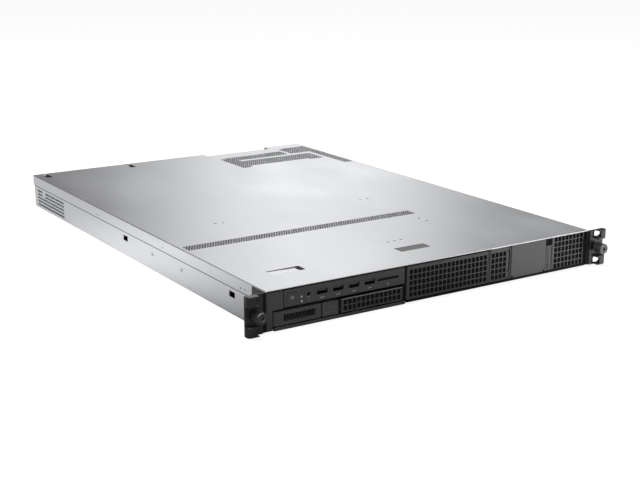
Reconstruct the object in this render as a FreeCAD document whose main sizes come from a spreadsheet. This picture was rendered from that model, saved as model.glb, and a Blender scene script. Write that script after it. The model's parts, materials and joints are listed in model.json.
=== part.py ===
import FreeCAD, Part
import math
import os
import re
import Sketcher

# One-unit (1U) rack server, as an assembly of separate pieces.
# Millimetres.  +X runs to the right as seen from the front, +Y runs to the back, +Z is up.
# The origin is on the underside, mid-width, in the plane where the rack ears meet the rack posts.

doc = FreeCAD.newDocument("rack_server")
sheet = doc.addObject("Spreadsheet::Sheet", "Dims")

# name, size, what it is
SIZES = [
    # case
    ("case_width", 435.0, "outside width over the cover flanges"),
    ("case_height", 43.2, "outside height, one rack unit less its gap"),
    ("case_depth", 640.0, "length of the cover"),
    ("cover_overhang", 2.0, "cover's front edge ahead of the rack plane"),
    ("cover_metal", 1.0, "cover sheet thickness"),
    ("cover_flange", 13.2, "height of the cover's side flanges"),
    ("cover_flange_start", 24.3, "where the side flanges begin behind the rack plane"),
    ("fit_gap", 0.2, "clearance between pieces that lift or slide off"),
    ("pan_metal", 1.2, "chassis sheet thickness"),
    ("lip_height", 3.0, "height of the folded lip at the chassis front"),
    ("lip_front", -1.0, "front face of the folded lip, from the rack plane"),
    ("recess_inset", 60.5, "right side of the rear recess to the case's right side"),
    ("port_room", 117.2, "width of the rear wall between the supply divider and the recess"),
    ("recess_depth", 13.0, "depth of the rear recess"),
    # side openings
    ("rail_hole_long", 12.0, "rail hook hole, length along the side"),
    ("rail_hole_high", 6.4, "rail hook hole, height"),
    ("rail_hole_level", 21.4, "height of the rail hook holes"),
    ("rail_hole_front", 68.4, "front rail hook hole"),
    ("rail_hole_rear", 331.6, "rear rail hook hole"),
    ("louvre_length", 97.0, "side vent slot length"),
    ("louvre_height", 2.8, "side vent slot height"),
    ("louvre_pitch", 4.7, "side vent slot pitch"),
    ("louvre_bottom", 5.0, "middle of the lowest side vent slot"),
    ("louvre_rear", 627.0, "rear end of the side vent slots"),
    ("louvre_short", 18.0, "short slots of the upper two rows"),
    ("louvre_bridge", 11.0, "bridge beside the short slots"),
    # rack ears
    ("ear_reach", 23.8, "how far each rack ear stands out beside the cover"),
    ("ear_height", 42.0, "height of the rack ears"),
    ("ear_metal", 1.2, "ear bracket plate thickness"),
    ("ear_side_metal", 2.2, "ear bracket flange thickness on the case side"),
    ("ear_cap_skin", 1.0, "moulded ear cap thickness"),
    ("ear_cap_gap", 1.5, "gap between the case side and the moulded ear cap"),
    ("ear_return", 23.5, "length of the bracket's flange along the side"),
    ("rack_slot_inset", 8.8, "rack slot centre from the ear's outer edge"),
    ("rack_slot_pitch", 31.75, "vertical distance of the rack slots"),
    ("rack_slot_long", 10.4, "rack slot length"),
    ("rack_slot_high", 6.8, "rack slot height"),
    ("hood_reach", 6.6, "how far the ear's hoods stand forward"),
    ("hood_height", 11.2, "height of an ear hood"),
    ("hood_width", 13.5, "width of an ear hood"),
    ("hood_corner", 4.6, "radius of a hood's outer front corner"),
    ("slot_margin", 0.4, "how much the cap's windows are wider than the rack slots"),
    ("window_corner", 2.1, "cut-off corners of the cap's windows"),
    ("ear_edge", 0.4, "how far the moulded cap covers the bracket's edges"),
    ("screw_inset", 11.7, "thumbscrew axis from the ear's outer edge"),
    ("screw_radius", 2.5, "thumbscrew thread radius"),
    ("screw_point", 7.0, "thumbscrew's length behind the rack plane"),
    ("neck_radius", 2.2, "radius of the thumbscrew's neck in the ear's plate"),
    ("neck_end", 0.3, "where the thumbscrew's thread begins behind the rack plane"),
    ("knob_radius", 6.2, "thumbscrew knob radius"),
    ("knob_length", 12.0, "length of the thumbscrew knob"),
    ("knurl_flats", 20, "flats round the thumbscrew knob"),
    ("socket_radius", 1.9, "hexagon socket in the knob's face, over its corners"),
    ("socket_depth", 2.0, "depth of the hexagon socket"),
    ("collar_radius", 5.0, "thumbscrew collar radius"),
    ("collar_room", 0.7, "room round the collar in the moulded ear cap"),
    ("collar_length", 3.6, "thumbscrew collar length"),
    ("spin_gap", 0.08, "radial running clearance of pins and screws"),
    # front
    ("face_y", 0.5, "front face of the bezel modules"),
    ("face_skin", 3.0, "thickness of the bezel modules"),
    ("frame_depth", 9.0, "depth of the front frame behind the modules"),
    ("frame_rib", 2.4, "width of the front frame's ribs"),
    ("frame_room", 1.6, "room in the front frame round the drive bays"),
    ("rail_bottom", 0.3, "lower edge of the front frame's bottom rail"),
    ("strip_height", 29.6, "height of the latch strip"),
    ("face_bottom", 3.2, "lower edge of the front modules"),
    ("face_top", 40.2, "upper edge of the left and centre modules"),
    ("seam", 0.8, "gap between neighbouring front modules"),
    ("badge_width", 20.5, "width of the blank badge panel"),
    ("io_bottom", 21.9, "lower edge of the input and output panel"),
    ("bay_inset", 8.8, "drive bays from the chassis side"),
    ("bay_end", 2.3, "drive bays to the right side of the input and output panel"),
    ("bay_space", 4.2, "space between the two drive bays"),
    ("bay_bottom", 4.2, "lower edge of the drive bays"),
    ("bay_height", 14.6, "height of a drive bay"),
    ("centre_gap", 3.2, "gap between the input panel and the centre grille"),
    ("narrow_width", 30.0, "width of the narrow grille"),
    ("blank_width", 51.0, "width of the blank panel"),
    ("blank_proud", 0.8, "how far the blank panel stands proud"),
    ("blank_notch", 2.4, "notches at the blank panel's foot"),
    ("strip_width", 8.9, "width of the latch strip"),
    ("right_width", 49.1, "width of the right grille"),
    ("post_width", 3.7, "width of the frame's post beside the right ear"),
    ("grille_hole", 4.2, "grille hole width"),
    ("grille_hole_high", 4.6, "grille hole height"),
    ("grille_level", 20.65, "middle height of the centre and narrow grilles' holes"),
    ("grille_margin", 3.5, "least plain width beside a grille's holes, both sides together"),
    ("narrow_inset", 4.5, "first holes of the narrow grille from its left side"),
    ("right_inset", 6.2, "first holes of the right grille from its left side"),
    ("right_raise", 1.5, "right grille's holes above the other grilles'"),
    ("grille_pitch_x", 5.65, "grille hole pitch across"),
    ("grille_pitch_z", 6.3, "grille hole pitch upwards"),
    ("port_count", 4, "number of front serial bus ports"),
    ("port_pitch", 19.55, "distance of the front serial bus ports"),
    ("port_place", 46.1, "middle of the first front port from the badge panel"),
    ("port_inset", 0.4, "front port shells behind the panel's face"),
    ("tongue_width", 11.2, "width of a front port's tongue"),
    ("tongue_high", 1.9, "thickness of a front port's tongue"),
    ("tongue_inset", 1.0, "front port's tongue behind its shell's edge"),
    ("port_width", 13.1, "front port width"),
    ("port_height", 5.6, "front port height"),
    ("port_level", 31.4, "middle height of the front ports"),
    ("port_depth", 14.0, "front port length"),
    ("port_metal", 0.35, "port shell thickness"),
    ("power_place", 10.6, "power button's middle from the badge panel"),
    ("power_level", 31.0, "power button height"),
    ("power_size", 10.4, "power button side"),
    ("power_proud", 0.3, "how long the power button is behind its panel"),
    ("power_round", 1.2, "corner radius of the power button"),
    ("power_flange", 0.8, "how far the power button's flange stands out"),
    ("power_flange_skin", 1.0, "thickness of the power button's flange"),
    ("io_board_margin", 3.0, "input board to its panel's left side"),
    ("io_board_depth", 34.0, "depth of the input board"),
    ("lens_gap", 0.05, "clearance round a status light's lens"),
    ("lens_depth", 0.2, "how far a lens lies behind the panel's face"),
    ("tab_place", 114.9, "left side of the pull-out tab from the badge panel"),
    ("tab_width", 26.6, "width of the pull-out tab"),
    ("tab_height", 2.4, "thickness of the pull-out tab"),
    ("tab_length", 48.0, "length of the pull-out tab"),
    ("tab_inset", 0.3, "face of the pull-out tab behind the panel's face"),
    # drive bays
    ("cage_metal", 0.8, "drive cage sheet thickness"),
    ("bay_gap", 0.5, "clearance round a drive carrier"),
    ("carrier_length", 118.0, "length of a drive carrier"),
    ("drive_width", 69.85, "2.5 inch drive width"),
    ("carrier_rail", 3.775, "width of the carrier's rails beside the drive"),
    ("drive_length", 100.2, "2.5 inch drive length"),
    ("drive_height", 9.5, "2.5 inch drive height"),
    ("lever_length", 56.2, "carrier lever length"),
    ("lever_gap", 1.5, "gap between the lever and the release button"),
    ("finger_width", 37.2, "width of the lever's finger opening"),
    ("finger_high", 7.0, "height of the lever's finger opening"),
    ("finger_place", 30.8, "middle of the finger opening from the bay's left side"),
    ("bar_back", 7.8, "carrier's crossbar behind the bezel's face"),
    ("bar_skin", 3.6, "thickness of the carrier's crossbar"),
    ("bar_slot", 2.0, "width of the crossbar's slots"),
    ("bar_slot_high", 6.0, "height of the crossbar's slots"),
    ("bar_slot_pitch", 3.6, "distance of the crossbar's slots"),
    ("bar_slot_count", 10, "slots of the crossbar"),
    ("bar_slot_place", 14.0, "first slot of the crossbar from the bay's left side"),
    ("rail_drop", 2.0, "carrier's and blank's rails lower than the bay"),
    ("stem_side", 6.0, "side of the release button's stem"),
    ("stem_length", 5.0, "length of the release button's stem"),
    ("button_depth", 5.8, "depth of the release button"),
    ("groove_high", 0.9, "height of the release button's grooves"),
    ("groove_deep", 0.7, "depth of the release button's grooves"),
    ("groove_pitch", 2.9, "distance of the release button's grooves"),
    ("groove_count", 3, "grooves of the release button"),
    ("drive_rise", 2.2, "drive above the bay's lower edge"),
    ("pin_end", 0.3, "lever pin below the lever's upper and lower faces"),
    ("blank_rail", 2.0, "thickness of the drive blank's rails"),
    ("blank_rail_length", 70.0, "length of the drive blank's rails"),
    ("backplane_height", 30.0, "height of the drive backplane"),
    ("plug_width", 40.0, "width of the drive's connector"),
    ("plug_height", 5.0, "height of the drive's connector"),
    ("plug_depth", 1.0, "depth of the drive's connector"),
    ("plug_gap", 0.2, "drive to its connector"),
    ("lever_skin", 5.0, "carrier lever thickness"),
    ("lever_nose", 0.8, "skin of the lever in front of its knuckle"),
    ("lever_round", 2.0, "radius of the lever's hinged end"),
    ("pin_inset", 4.0, "lever pin from the lever's hinged end"),
    ("pin_back", 3.0, "lever pin behind the lever's face"),
    ("knuckle_radius", 1.9, "half width of the carrier's knuckle round the lever pin"),
    ("knuckle_height", 6.8, "height of the carrier's knuckle"),
    ("pin_radius", 1.2, "carrier lever pin radius"),
    # fans
    ("fan_count", 5, "number of fans"),
    ("fan_size", 40.0, "fan frame side"),
    ("fan_depth", 28.0, "fan frame length"),
    ("fan_margin", 55.1, "outer fans' middles from the chassis sides"),
    ("fan_wall_y", 206.0, "front face of the fan wall"),
    ("fan_bore", 18.6, "radius of the fan's duct"),
    ("fan_hub", 8.5, "radius of the fan's hub"),
    ("blade_tip_gap", 0.8, "clearance of the blade tips"),
    ("blade_count", 5, "blades of a fan rotor"),
    ("blade_lean", 5.0, "rise of a blade's ends from its middle"),
    ("blade_skin", 1.4, "fan blade thickness"),
    ("blade_root", 6.8, "where a blade starts inside the hub"),
    ("rotor_inset", 1.5, "fan rotor behind the frame's faces"),
    ("shaft_radius", 1.5, "fan shaft radius"),
    ("spider_depth", 2.0, "depth of the fan frame's spider"),
    ("spider_width", 1.8, "width of the spider's arms"),
    ("spider_root", 0.6, "how deep the spider's arms run into the frame"),
    # boards
    ("board_metal", 1.6, "circuit board thickness"),
    ("standoff_height", 5.0, "height of the board standoffs"),
    ("standoff_radius", 3.2, "standoff radius over its corners"),
    ("board_gap", 52.0, "fan wall to the front edge of the main board"),
    ("neck_gap", 7.0, "main board to the front of the power supplies"),
    ("board_edge_gap", 3.0, "main board to case side"),
    ("board_rear_gap", 0.4, "main board to the rear panel"),
    ("fixing_inset", 5.0, "board fixings from the main board's sides"),
    ("fixing_edge", 6.0, "board fixings from the main board's ends"),
    ("cpu_y", 345.0, "middle of the processors"),
    ("cpu_share", 0.4277, "middle of each processor, as a share of the way to the chassis side"),
    ("cpu_side", 58.0, "processor side"),
    ("cpu_height", 6.0, "processor and socket height"),
    ("sink_width", 90.0, "heat sink width"),
    ("sink_length", 92.0, "heat sink length"),
    ("sink_base", 4.0, "heat sink base thickness"),
    ("sink_fin_height", 19.0, "heat sink fin height"),
    ("sink_fin", 1.0, "heat sink fin thickness"),
    ("sink_fins", 16, "number of fins"),
    ("dimm_count", 6, "memory modules in one bank"),
    ("dimm_pitch", 8.6, "distance of the memory modules"),
    ("dimm_length", 133.35, "memory module length"),
    ("dimm_height", 30.0, "memory module height"),
    ("dimm_metal", 1.3, "memory module thickness"),
    ("socket_width", 6.4, "memory socket width"),
    ("socket_height", 5.0, "memory socket height"),
    ("socket_end", 4.0, "how far a memory socket is longer than its module, at each end"),
    ("dimm_seat", 2.0, "how deep a memory module would sit in its socket, from the board"),
    ("baffle_skin", 1.4, "air baffle thickness"),
    ("baffle_gap", 3.0, "air baffle to the heat sinks"),
    ("baffle_lip", 14.0, "front edge of the air baffle ahead of the memory modules"),
    ("baffle_rear", 8.0, "rear edge of the air baffle behind the memory modules"),
    ("baffle_bridge", 8.0, "depth of the air baffle's front bridge"),
    ("baffle_inset", 2.0, "air baffle to the chassis sides"),
    ("baffle_leg", 30.0, "length of the air baffle's side walls"),
    # power supplies
    ("psu_width", 73.0, "power supply width"),
    ("psu_height", 39.0, "power supply height"),
    ("psu_length", 185.0, "power supply length"),
    ("psu_gap", 0.8, "gap between the power supplies"),
    ("psu_inset", 0.9, "outer power supply to the chassis side"),
    ("psu_handle", 20.0, "how far a supply's handle stands out"),
    ("divider_metal", 1.0, "sheet thickness of the supply divider"),
    ("divider_foot", 9.0, "width of the divider's foot"),
    ("inlet_place", 18.0, "middle of a supply's inlet from its left side"),
    ("inlet_width", 26.8, "width of a supply's inlet"),
    ("inlet_height", 19.6, "height of a supply's inlet"),
    ("inlet_depth", 17.4, "depth of a supply's inlet"),
    ("inlet_skin", 2.2, "wall of a supply's inlet"),
    ("inlet_pin", 2.0, "thickness of the inlet's pins"),
    ("inlet_pin_high", 4.0, "height of the inlet's pins"),
    ("inlet_pin_length", 10.5, "length of the inlet's pins"),
    ("inlet_pin_pitch", 7.0, "distance of the inlet's pins"),
    ("psu_vent", 3.4, "width of a supply's rear vent slots"),
    ("psu_vent_high", 22.0, "height of a supply's rear vent slots"),
    ("psu_vent_pitch", 6.4, "distance of a supply's rear vent slots"),
    ("psu_vent_place", 37.5, "first rear vent slot from a supply's left side"),
    ("psu_vent_depth", 8.0, "depth of a supply's rear vent slots"),
    ("psu_intake", 6.2, "width of a supply's intake slots"),
    ("psu_intake_high", 24.0, "height of a supply's intake slots"),
    ("psu_intake_pitch", 10.2, "distance of a supply's intake slots"),
    ("psu_intake_place", 11.0, "first intake slot from a supply's left side"),
    ("psu_intake_depth", 6.0, "depth of a supply's intake slots"),
    ("channel_width", 5.4, "width of the latch's channel"),
    ("channel_length", 34.0, "length of the latch's channel"),
    ("channel_height", 16.0, "height of the latch's channel"),
    ("latch_inset", 2.0, "latch's pin from the supply's side"),
    ("latch_pin_inset", 28.0, "latch's pin from the supply's rear"),
    ("latch_pin_long", 19.2, "length of the latch's pin"),
    ("latch_skin", 1.6, "thickness of the latch"),
    ("latch_length", 46.0, "length of the latch"),
    ("latch_height", 15.2, "height of the latch"),
    ("latch_tongue", 3.0, "thickness of the latch's thumb piece"),
    ("latch_tongue_long", 4.0, "length of the latch's thumb piece"),
    ("handle_place", 47.0, "middle of a supply's handle from its left side"),
    ("handle_width", 29.0, "width of a supply's handle"),
    ("handle_bar", 3.4, "thickness of a supply's handle"),
    ("handle_post", 5.0, "width of the handle's posts"),
    ("handle_grip", 4.0, "depth of the handle's grip"),
    ("handle_rise", 13.0, "handle above the supply's middle"),
    # screws
    ("stud_level", 18.9, "height of the heads on the case sides"),
    ("stud_radius", 2.2, "radius of the heads on the case sides"),
    ("stud_height", 0.6, "height of the heads on the case sides"),
    ("board_screw_radius", 2.6, "main board screw head radius"),
    ("board_screw_height", 1.8, "main board screw head height"),
    # rear wall
    ("rear_vent_width", 4.0, "rear vent hole width"),
    ("rear_vent_height", 6.5, "rear vent hole height"),
    ("rear_vent_pitch", 8.4, "rear vent hole pitch across"),
    ("rear_vent_rise", 9.5, "rear vent hole pitch upwards"),
    ("card_slot_margin", 4.5, "expansion slot to the recess's sides"),
    ("card_slot_height", 13.0, "expansion slot height"),
    ("card_level", 31.0, "middle height of the expansion slot"),
    ("card_length", 150.0, "expansion card length"),
    ("card_inset", 4.0, "card from the recess's left side"),
    ("card_drop", 6.0, "card below the middle of its slot"),
    ("card_margin", 12.0, "recess wider than the card"),
    ("bracket_metal", 1.0, "card bracket thickness"),
    ("bracket_inset", 2.0, "card bracket from the recess's sides"),
    ("bracket_rise", 3.6, "card bracket higher than its slot"),
    ("chip_side", 40.0, "side of the card's component block"),
    ("chip_height", 7.0, "height of the card's component block"),
    ("chip_back", 100.0, "component block from the recess wall"),
    ("card_port_width", 15.0, "width of the card's connectors"),
    ("card_port_length", 22.8, "length of the card's connectors"),
    ("card_port_height", 9.0, "height of the card's connectors"),
    ("riser_inset", 8.0, "riser board from the recess's right side"),
    ("riser_length", 110.0, "length of the riser board"),
    ("riser_height", 28.0, "height of the riser board"),
    ("riser_back", 140.0, "riser board's front end from the recess wall"),
    ("riser_socket_width", 5.0, "width of the riser's socket"),
    ("riser_socket_length", 80.0, "length of the riser's socket"),
    ("riser_socket_height", 7.0, "height of the riser's socket"),
    ("rear_port_depth", 16.6, "depth of the rear connectors"),
    ("rear_port_skin", 1.5, "wall of the rear connectors"),
    ("rear_port_hollow", 9.0, "depth of the rear connectors' openings"),
    # cover details
    ("pull_place", 54.5, "finger recess middle from the case's left side"),
    ("pull_y", 49.8, "finger recess middle along"),
    ("pull_width", 40.0, "finger recess width"),
    ("pull_length", 14.8, "finger recess length"),
    ("pull_depth", 2.6, "finger recess depth"),
    ("pad_y", 49.0, "release pad middle along"),
    ("pad_flange", 2.0, "how far the release pad's flange stands out"),
    ("pad_flange_metal", 1.2, "thickness of the release pad's flange"),
    ("pull_shallow", 0.4, "depth of the finger recess at its shallow end"),
    ("notch_inset", 11.2, "outer rear notch from the outer power supply's side"),
    ("notch_divider", 9.0, "inner rear notch from the supply divider"),
    ("notch_width", 7.5, "width of the cover's rear notches"),
    ("notch_length", 24.0, "length of the cover's rear notches"),
    ("notch_margin", 2.0, "sheet behind the rear notches"),
    ("vent_pitch", 14.6, "pitch of the cover's perforation"),
    ("vent_hole", 9.2, "hole side of the cover's perforation"),
]

for row, (alias, number, note) in enumerate(SIZES, start=1):
    sheet.set("A%d" % row, note)
    sheet.set("B%d" % row, str(number))
    sheet.setAlias("B%d" % row, alias)
doc.recompute()


# Shared places, worked out from the sheet's sizes: name and formula.
PLACES = {
    "wall_out": "case_width / 2 - cover_metal - fit_gap",
    "wall_in": "wall_out - pan_metal",
    "rim": "case_height - cover_metal - fit_gap",
    "lid": "case_height - cover_metal",
    "mid_level": "case_height / 2",
    "rear_end": "case_depth - cover_overhang",
    "recess_right": "case_width / 2 - recess_inset",
    "recess_left": "divider_x + port_room",
    "recess_width": "recess_right - recess_left",
    "recess_middle": "(recess_left + recess_right) / 2",
    "recess_wall": "rear_end - recess_depth - pan_metal",
    # rack ears
    "ear_end": "case_width / 2 + ear_reach",
    "ear_start": "case_width / 2 + ear_cap_gap",
    "slot_x": "ear_end - rack_slot_inset",
    "screw_x": "ear_end - screw_inset",
    "hood_front": "-ear_metal - ear_cap_skin - hood_reach",
    # bezel, from the left wall to the middle and from the right wall to the middle
    "frame_front": "face_y + face_skin",
    "frame_back": "frame_front + frame_depth",
    "badge_right": "badge_width - wall_out",
    "bay_left": "bay_inset - wall_out",
    "bay_width": "drive_width + 2 * carrier_rail",
    "bay_pitch": "bay_width + bay_space",
    "bays_right": "bay_left + bay_pitch + bay_width",
    "io_right": "bays_right + bay_end",
    "bay_level": "bay_bottom + bay_height / 2",
    "centre_left": "io_right + centre_gap",
    "right_end": "wall_out - post_width",
    "strip_right": "right_end - right_width - seam",
    "blank_right": "strip_right - strip_width - seam",
    "narrow_right": "blank_right - blank_width - seam",
    "centre_right": "narrow_right - narrow_width - seam",
    "power_x": "badge_right + power_place",
    "port_first": "badge_right + port_place",
    "tab_left": "badge_right + tab_place",
    # drive bays
    "cage_left": "bay_left - bay_gap - cage_metal",
    "cage_width": "bay_pitch + bay_width + 2 * bay_gap + 2 * cage_metal",
    "cage_end": "face_y + carrier_length + plug_gap + plug_depth",
    "bar_front": "face_y + bar_back",
    "lever_x": "bay_left + pin_inset",
    "lever_y": "face_y + pin_back",
    "button_width": "bay_width - lever_length - lever_gap",
    "button_x": "bay_left + bay_width - button_width / 2",
    # fans and boards
    "fan_pitch": "2 * (wall_in - fan_margin) / (fan_count - 1)",
    "fan_front": "fan_wall_y + cage_metal",
    "fan_level": "pan_metal + fan_size / 2",
    "board_low": "pan_metal + standoff_height",
    "board_high": "board_low + board_metal",
    "board_front": "fan_wall_y + board_gap",
    "board_neck": "rear_end - psu_length - neck_gap",
    "fixing_x": "wall_in - board_edge_gap - fixing_inset",
    "cpu_x": "cpu_share * wall_in",
    "bank_x": "(cpu_x + sink_width / 2 + wall_in) / 2",
    "bank_width": "wall_in - cpu_x - sink_width / 2 - baffle_gap",
    "baffle_level": "board_high + dimm_seat + dimm_height + fit_gap",
    "baffle_front": "cpu_y - dimm_length / 2 - baffle_lip",
    # power supplies
    "psu_side": "psu_inset - wall_in",
    "psu_low": "pan_metal + fit_gap",
    "psu_level": "psu_low + psu_height / 2",
    "divider_x": "psu_side + 2 * psu_width + psu_gap + fit_gap",
    "latch_pin_y": "rear_end - latch_pin_inset",
    # cover
    "pull_x": "pull_place - case_width / 2",
    "pad_flange_level": "lid - pad_flange_metal - fit_gap / 2",
}

NAMES = re.compile(r"\b(" + "|".join(list(PLACES) + [alias for alias, number, note in SIZES]) + r")\b")
V = FreeCAD.Vector
NODES = []


def formula(text):
    """A formula in the sheet's cells, with the shared places written out."""
    def write_out(found):
        name = found.group()
        return "(%s)" % formula(PLACES[name]) if name in PLACES else "Dims." + name
    return NAMES.sub(write_out, str(text))


def amount(text):
    """What a formula comes to."""
    return float(sheet.evalExpression(formula(text)))


class Sizes:
    """The sizes and places as numbers, for outlines that are worked out point by point."""


S = Sizes()
for alias, number, note in SIZES:
    setattr(S, alias, type(number)(sheet.get(alias)))
for name in PLACES:
    setattr(S, name, amount(name))

# Heights of the rack slots.
SLOT_LEVELS = ("mid_level - rack_slot_pitch / 2", "mid_level + rack_slot_pitch / 2")
# Main board fixings: across as shares of the outermost ones, and along.
STANDOFFS = [("%s * fixing_x" % share, y) for share in (-1, -0.22, 0.22, 1)
             for y in ("board_front + fixing_edge", "board_neck - fixing_edge")]
# Heads on the case sides: they hold the drive cage's and the fan wall's tabs.
STUD_PLACES = ("fan_wall_y - 22.6", "board_front - 0.5")
# Status lights: middle across, height and radius.  The service hole beside them is open.
LENSES = (("power_x + 11", 30.1, 1.1), ("power_x + 11.2", 25.2, 1.1))
SERVICE_HOLE = ("power_x + 19.5", 31.2, 2.0)
# Rear connectors: middle from the recess, width and height (stacked serial bus, three network, video).
REAR_PORTS = ((-104.0, 15.4, 16.4), (-84.8, 16.8, 13.6), (-65.4, 16.8, 13.6), (-46.0, 16.8, 13.6),
              (-18.5, 31.0, 12.4))
# Rear vents: first column, columns, rows, lowest row and depth of the cut.
REAR_VENTS = (("recess_left + 8", "floor((recess_width - 14) / rear_vent_pitch)", 1, 12.0,
               "recess_depth + 4"),
              ("recess_right + 8.5", 5, 3, 11.0, "recess_depth / 2"),
              ("recess_left - 108", 12, 1, 34.0, "recess_depth / 2"))
# Perforated areas of the cover: low and high corner of each rectangle.
COVER_FIELDS = (("4.5 - case_width / 2", "fan_wall_y - 34.5", "case_width / 2 - 118.9", "fan_wall_y - 18"),
                ("recess_left + 4", "rear_end - 113", "recess_right + 11", "rear_end - 45"),
                ("recess_right + 11", "rear_end - 62", "case_width / 2 - 2", "rear_end - 19"),
                ("case_width / 2 - 19.5", "rear_end - 158", "case_width / 2 - 2", "rear_end - 62"))
# Memory banks: places across.
BANKS = ("-bank_x", "0", "bank_x")

# Sides of the prisms that stand for small round forms.
SCREW_SIDES = 12
COLLAR_HOLE_SIDES = 12
DUCT_SIDES = 16
# Turns that lay a cylinder or a prism along an axis.
TURNS = {"X": FreeCAD.Rotation(V(0, 1, 0), 90), "Y": FreeCAD.Rotation(V(1, 0, 0), -90),
         "Z": FreeCAD.Rotation()}
# A little more than a rounding error, in millimetres, for finding edges by their place.
NEAR = 0.1
# A pattern's gap that is set to this follows the pattern's offset.
USE_OFFSET = -1.0


# ---------------------------------------------------------------- helpers

def bind(thing, prop, text):
    thing.setExpression(prop, formula(text))


def place(thing, x, y, z):
    bind(thing, "Placement.Base.x", x)
    bind(thing, "Placement.Base.y", y)
    bind(thing, "Placement.Base.z", z)
    return thing


def keep(thing, label):
    """Names a finished sub-part; its label becomes the file's name."""
    thing.Label = label
    NODES.append(thing)
    return thing


def box(x, y, z, dx, dy, dz):
    """A block from its low corner and its three sides."""
    block = doc.addObject("Part::Box", "block")
    bind(block, "Length", dx)
    bind(block, "Width", dy)
    bind(block, "Height", dz)
    return place(block, x, y, z)


def rod(axis, x, y, z, radius, length):
    """A cylinder that starts at a point and runs along +X, +Y or +Z."""
    cylinder = doc.addObject("Part::Cylinder", "rod")
    bind(cylinder, "Radius", radius)
    bind(cylinder, "Height", length)
    cylinder.Placement = FreeCAD.Placement(V(), TURNS[axis])
    return place(cylinder, x, y, z)


def prism(axis, x, y, z, sides, radius, length):
    """A regular prism that starts at a point and runs along +X, +Y or +Z."""
    bar = doc.addObject("Part::Prism", "prism")
    bind(bar, "Polygon", sides)
    bind(bar, "Circumradius", radius)
    bind(bar, "Height", length)
    bar.Placement = FreeCAD.Placement(V(), TURNS[axis])
    return place(bar, x, y, z)


def fuse(*things):
    joined = doc.addObject("Part::MultiFuse", "joined")
    joined.Shapes = list(things)
    joined.Refine = True
    return joined


def cut(base, *tools):
    result = doc.addObject("Part::Cut", "cut")
    result.Base = base
    result.Tool = tools[0] if len(tools) == 1 else fuse(*tools)
    return result


def group(*things):
    """Several loose solids in one sub-part."""
    compound = doc.addObject("Part::Compound", "group")
    compound.Links = list(things)
    return compound


def mirrored(source):
    """The same piece on the other side of the middle plane."""
    other = doc.addObject("Part::Mirroring", "mirrored")
    other.Source = source
    other.Base = V(0, 0, 0)
    other.Normal = V(1, 0, 0)
    return other


def body(name):
    return doc.addObject("PartDesign::Body", name)


def sketch(owner, role, across, up, level):
    """An empty sketch on an origin plane of its body, moved to a place on it."""
    drawing = owner.newObject("Sketcher::SketchObject", "sketch")
    face = [feature for feature in owner.Origin.OriginFeatures if feature.Role == role][0]
    drawing.AttachmentSupport = (face, [""])
    drawing.MapMode = "FlatFace"
    bind(drawing, "AttachmentOffset.Base.z", level)
    return moved(drawing, across, up)


def rectangle(owner, role, wide, high, across, up, level):
    """A rectangle about a point of the plane, with its two sides bound to the sheet."""
    drawing = sketch(owner, role, across, up, level)
    corners = [V(-1, -1, 0), V(1, -1, 0), V(1, 1, 0), V(-1, 1, 0)]
    for i in range(4):
        drawing.addGeometry(Part.LineSegment(corners[i], corners[(i + 1) % 4]))
    for i in range(4):
        drawing.addConstraint(Sketcher.Constraint("Coincident", i, 2, (i + 1) % 4, 1))
    for i, kind in enumerate(("Horizontal", "Vertical", "Horizontal", "Vertical")):
        drawing.addConstraint(Sketcher.Constraint(kind, i))
    drawing.addConstraint(Sketcher.Constraint("Symmetric", 0, 1, 1, 2, -1, 1))
    for name, kind, line, formula in (("wide", "DistanceX", 0, wide), ("high", "DistanceY", 1, high)):
        index = drawing.addConstraint(Sketcher.Constraint(kind, line, 1, line, 2, 2.0))
        drawing.renameConstraint(index, name)
        bind(drawing, "Constraints." + name, formula)
    return drawing


def circle(owner, role, radius, across, up, level):
    drawing = sketch(owner, role, across, up, level)
    drawing.addGeometry(Part.Circle(V(0, 0, 0), V(0, 0, 1), 1.0))
    drawing.addConstraint(Sketcher.Constraint("Coincident", 0, 3, -1, 1))
    index = drawing.addConstraint(Sketcher.Constraint("Radius", 0, 1.0))
    drawing.renameConstraint(index, "radius")
    bind(drawing, "Constraints.radius", radius)
    return drawing


def outline(owner, role, level, *loops):
    """A sketch of closed straight-sided loops, each a list of points."""
    drawing = sketch(owner, role, 0, 0, level)
    for points in loops:
        for i, point in enumerate(points):
            after = points[(i + 1) % len(points)]
            drawing.addGeometry(Part.LineSegment(V(point[0], point[1], 0), V(after[0], after[1], 0)))
    return drawing


def moved(drawing, across, up):
    """Moves a sketch on its plane to a place that is bound to the sheet."""
    bind(drawing, "AttachmentOffset.Base.x", across)
    bind(drawing, "AttachmentOffset.Base.y", up)
    return drawing


def pad(owner, profile, length, reverse=False):
    feature = owner.newObject("PartDesign::Pad", "pad")
    feature.Profile = profile
    bind(feature, "Length", length)
    feature.Reversed = reverse
    return feature


def pocket(owner, profile, length=None, reverse=False):
    """Cuts a sketch into its body: to a depth, or both ways through everything."""
    feature = owner.newObject("PartDesign::Pocket", "pocket")
    feature.Profile = profile
    if length is None:
        feature.Type = "ThroughAll"
        feature.Midplane = True
    else:
        bind(feature, "Length", length)
        feature.Reversed = reverse
    return feature


def repeat(owner, feature, drawing, axis, step, count, axis2=None, step2=None, count2=None):
    """A row, or a grid, of a feature."""
    pattern = owner.newObject("PartDesign::LinearPattern", "pattern")
    pattern.Originals = [feature]
    pattern.Direction = (drawing, [axis])
    pattern.Mode = "Spacing"
    bind(pattern, "Offset", step)
    bind(pattern, "Occurrences", count)
    if axis2:
        pattern.Direction2 = (drawing, [axis2])
        pattern.Mode2 = "Spacing"
        pattern.Occurrences2 = 2
        pattern.Spacings2 = [USE_OFFSET]
        bind(pattern, "Offset2", step2)
        bind(pattern, "Occurrences2", count2)
    owner.Tip = pattern
    return pattern


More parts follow.
